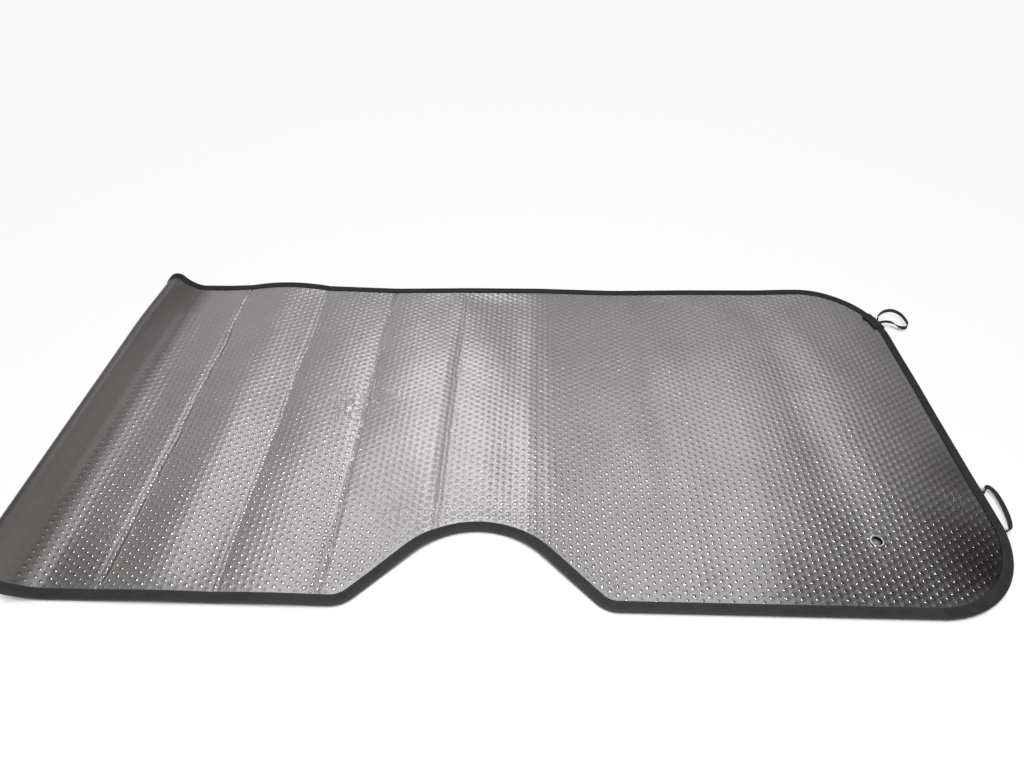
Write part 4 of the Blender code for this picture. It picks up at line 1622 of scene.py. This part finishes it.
@dataclass
class Studio:
    """The floor, the lamps, the world and the camera."""

    shift: Vector
    focal_pixels: float = 620.0
    image_width: int = 1024
    pitch: float = math.radians(45.626)
    yaw: float = math.radians(2.224)
    roll: float = math.radians(-0.843)
    eye: tuple[float, float, float] = (0.066, -0.3080, 0.6816)
    floor_reach: float = 9.0
    floor_height: float = -0.0003
    floor_grey: float = 0.80
    floor_glow: float = 0.92
    shadow_reach: float = 0.030
    room_tint: Colour = (1.0, 0.985, 0.97, 1.0)
    room_behind: float = 0.335
    room_beside: float = 0.334
    room_before: tuple[float, float] = (0.03, 0.28)
    flash_power: float = 20.0
    flash_size: float = 0.018
    flash_offset: tuple[float, float, float] = (0.0, -0.02, 0.07)

    def camera(self) -> bpy.types.Object:
        """Build the camera at the photograph's viewing angle.

        Returns:
            The camera.
        """
        right0 = Vector((math.cos(self.yaw), math.sin(self.yaw), 0.0))
        up0 = Vector((-math.sin(self.yaw) * math.sin(self.pitch), math.cos(self.yaw) * math.sin(self.pitch),
                      math.cos(self.pitch)))
        ahead = Vector((-math.sin(self.yaw) * math.cos(self.pitch), math.cos(self.yaw) * math.cos(self.pitch),
                        -math.sin(self.pitch)))
        right = right0 * math.cos(self.roll) + up0 * math.sin(self.roll)
        up = up0 * math.cos(self.roll) - right0 * math.sin(self.roll)
        data = bpy.data.cameras.new("camera")
        data.sensor_width = 36.0
        data.lens = self.focal_pixels * data.sensor_width / self.image_width
        data.clip_start, data.clip_end = 0.02, 60.0
        camera = add_object("camera", data)
        frame = Matrix((right, up, -ahead)).transposed().to_4x4()
        frame.translation = Vector(self.eye) + self.shift
        camera.matrix_world = frame
        bpy.context.scene.camera = camera
        return camera

    def floor(self) -> bpy.types.Object:
        """Build the plain pale floor: it shows as white, keeps the object's shadow, and has painted shadow near the
        shade.

        Returns:
            The floor.
        """
        material, nodes, shader = start_material("pale_floor")
        shader.inputs["Base Color"].default_value = (self.floor_grey, self.floor_grey, self.floor_grey, 1.0)
        shader.inputs["Roughness"].default_value = 0.9
        path = nodes.add("ShaderNodeLightPath")
        seen = nodes.math("MAXIMUM", path.outputs["Is Camera Ray"],
                          nodes.math("MAXIMUM", path.outputs["Is Glossy Ray"], path.outputs["Is Transmission Ray"]))
        # Painted shadow: the glow fades where the shade is close above the floor, as under its edges and in the
        # eyelet's hole.
        near = nodes.add("ShaderNodeAmbientOcclusion", {"Distance": self.shadow_reach}, samples=6).outputs["AO"]
        strength = nodes.ramp(near, 0.48, 0.60, 0.02, 1.0)
        glow = nodes.add("ShaderNodeEmission", {"Color": (1.0, 1.0, 1.0, 1.0), "Strength": strength})
        share = nodes.math("MULTIPLY", seen, self.floor_glow)
        mixed = nodes.add("ShaderNodeMixShader", {0: share, 1: shader.outputs[0], 2: glow.outputs[0]})
        nodes.join(material.node_tree.nodes["Material Output"], {"Surface": mixed.outputs[0]})
        far, low = self.floor_reach, self.floor_height
        corners = np.array([(-far, -far, low), (far, -far, low), (far, far, low), (-far, far, low)])
        plane = make_mesh("floor", corners, [(0, 1, 2, 3)], material)
        return plane

    def world(self) -> None:
        """Light the room softly: brighter low behind the shade, at its left and behind the camera, dark overhead."""
        world = bpy.data.worlds.new("studio")
        bpy.context.scene.world = world
        world.use_nodes = True
        nodes = Nodes(world.node_tree)
        direction = nodes.add("ShaderNodeTexCoord").outputs["Generated"]
        parts = nodes.add("ShaderNodeSeparateXYZ", {0: direction})
        behind = nodes.ramp(parts.outputs[1], 0.2, 0.8, 0.0, self.room_behind, style="LINEAR")
        beside = nodes.math("MULTIPLY", nodes.ramp(parts.outputs[0], 0.0, -1.0, style="LINEAR"), self.room_beside)
        before = nodes.ramp(parts.outputs[1], -0.1, -0.7, *self.room_before)
        level = nodes.math("ADD", nodes.math("ADD", behind, beside), before)
        background = world.node_tree.nodes["Background"]
        background.inputs["Color"].default_value = self.room_tint
        nodes.join(background, {"Strength": level})

    def hang(self, softbox: Softbox) -> bpy.types.Object:
        """Hang a soft lamp.

        Args:
            softbox: the lamp's sizes and place.

        Returns:
            The lamp.
        """
        data = bpy.data.lights.new(softbox.name, "AREA")
        data.shape = "RECTANGLE"
        data.size, data.size_y = softbox.size
        data.energy = softbox.power
        lamp = add_object(softbox.name, data)
        lamp.location = Vector(softbox.place) + self.shift
        lamp.rotation_euler = (softbox.tilt, 0.0, softbox.turn)
        return lamp

    def flash(self) -> bpy.types.Object:
        """Set a small lamp just above the camera, which the bubbles' rims catch as points.

        Returns:
            The lamp.
        """
        data = bpy.data.lights.new("flash", "SPOT")
        data.energy = self.flash_power
        data.shadow_soft_size = self.flash_size
        data.spot_size = math.radians(140)
        data.spot_blend = 0.5
        lamp = add_object("flash", data)
        lamp.location = Vector(self.eye) + self.shift + Vector(self.flash_offset)
        lamp.rotation_euler = (math.radians(42), 0.0, 0.0)
        return lamp

    def build(self) -> None:
        """Build everything round the shade, the camera first."""
        self.camera()
        self.floor()
        self.world()
        for softbox in SOFTBOXES:
            self.hang(softbox)
        self.flash()


TAPE_REACH = 0.0011
FRONT_LOOP_FROM_FRONT = 0.139
REAR_LOOP_ROUTE = (
    (0.0000, 0.0030, 0.0000), (0.0030, 0.0034, 0.0000), (0.0110, 0.0115, 0.0002), (0.0290, 0.0180, 0.0000),
    (0.0440, 0.0160, -0.0006), (0.0510, 0.0040, -0.0012), (0.0470, -0.0150, -0.0014), (0.0400, -0.0240, -0.0014),
    (0.0330, -0.0270, -0.0012), (0.0260, -0.0235, -0.0008), (0.0230, -0.0160, -0.0004), (0.0195, -0.0090, 0.0000),
    (0.0120, -0.0045, 0.0002), (0.0030, -0.0030, 0.0000), (0.0000, -0.0030, 0.0000),
)
REAR_LOOP_TWIST = (0, 0, 10, 25, 20, 5, 0, -10, -35, -80, -125, -160, -175, -180, -180)
FRONT_LOOP_ROUTE = (
    (0.0000, 0.0310, 0.0004), (0.0030, 0.0312, 0.0004), (0.0068, 0.0375, 0.0010), (0.0112, 0.0380, 0.0014),
    (0.0148, 0.0300, 0.0014), (0.0152, 0.0160, 0.0014), (0.0138, 0.0020, 0.0014), (0.0110, -0.0120, 0.0014),
    (0.0072, -0.0225, 0.0010), (0.0030, -0.0258, 0.0004), (0.0000, -0.0260, 0.0004),
)
FRONT_LOOP_TWIST = (0, 12, 45, 68, 68, 62, 52, 36, 15, 2, 0)


def main() -> None:
    """Build the camera and room, then every piece of the shade."""
    logging.basicConfig(level=logging.INFO, format="%(name)s: %(message)s")
    bpy.context.scene.view_settings.view_transform = "Standard"
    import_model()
    pattern, lie = FlatPattern(), Lie()
    low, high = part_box("edge_binding")
    shift = Vector((high.x - pattern.right - TAPE_REACH, low.y + TAPE_REACH, 0.0))
    Studio(shift).build()

    effects = EffectGroups()
    foil = FoilFinish().build(effects)
    tape, thread, elastic = (finish.build(effects) for finish in (BINDING_TAPE, SEWING_THREAD, WOVEN_ELASTIC))
    metal = PlatedFinish().build(effects)

    sheet = FoldedSheet(pattern, lie, shift)
    binding, tab = Binding(sheet), LoopTab(sheet)
    rear_loop = ElasticLoop(sheet, "rear_elastic_band", "elastic_loop_rear", pattern.depth - tab.from_rear, tab.reach,
                            REAR_LOOP_ROUTE, REAR_LOOP_TWIST)
    front_loop = ElasticLoop(sheet, "front_elastic_band", "elastic_loop_front", FRONT_LOOP_FROM_FRONT, TAPE_REACH,
                             FRONT_LOOP_ROUTE, FRONT_LOOP_TWIST)
    pieces = [FoilFilm(sheet).build(foil), binding.build(tape), binding.build_stitches(thread),
              tab.build(tape), rear_loop.build(elastic), front_loop.build(elastic),
              Eyelet(sheet).build(metal)]
    washer = bpy.data.objects["eyelet_washer"]
    washer.data.materials.clear()
    washer.data.materials.append(metal)
    for piece in pieces:
        LOG.info("%s: %d faces", piece.name, len(piece.data.polygons))
    pattern.area()


if __name__ == "__main__":
    main()
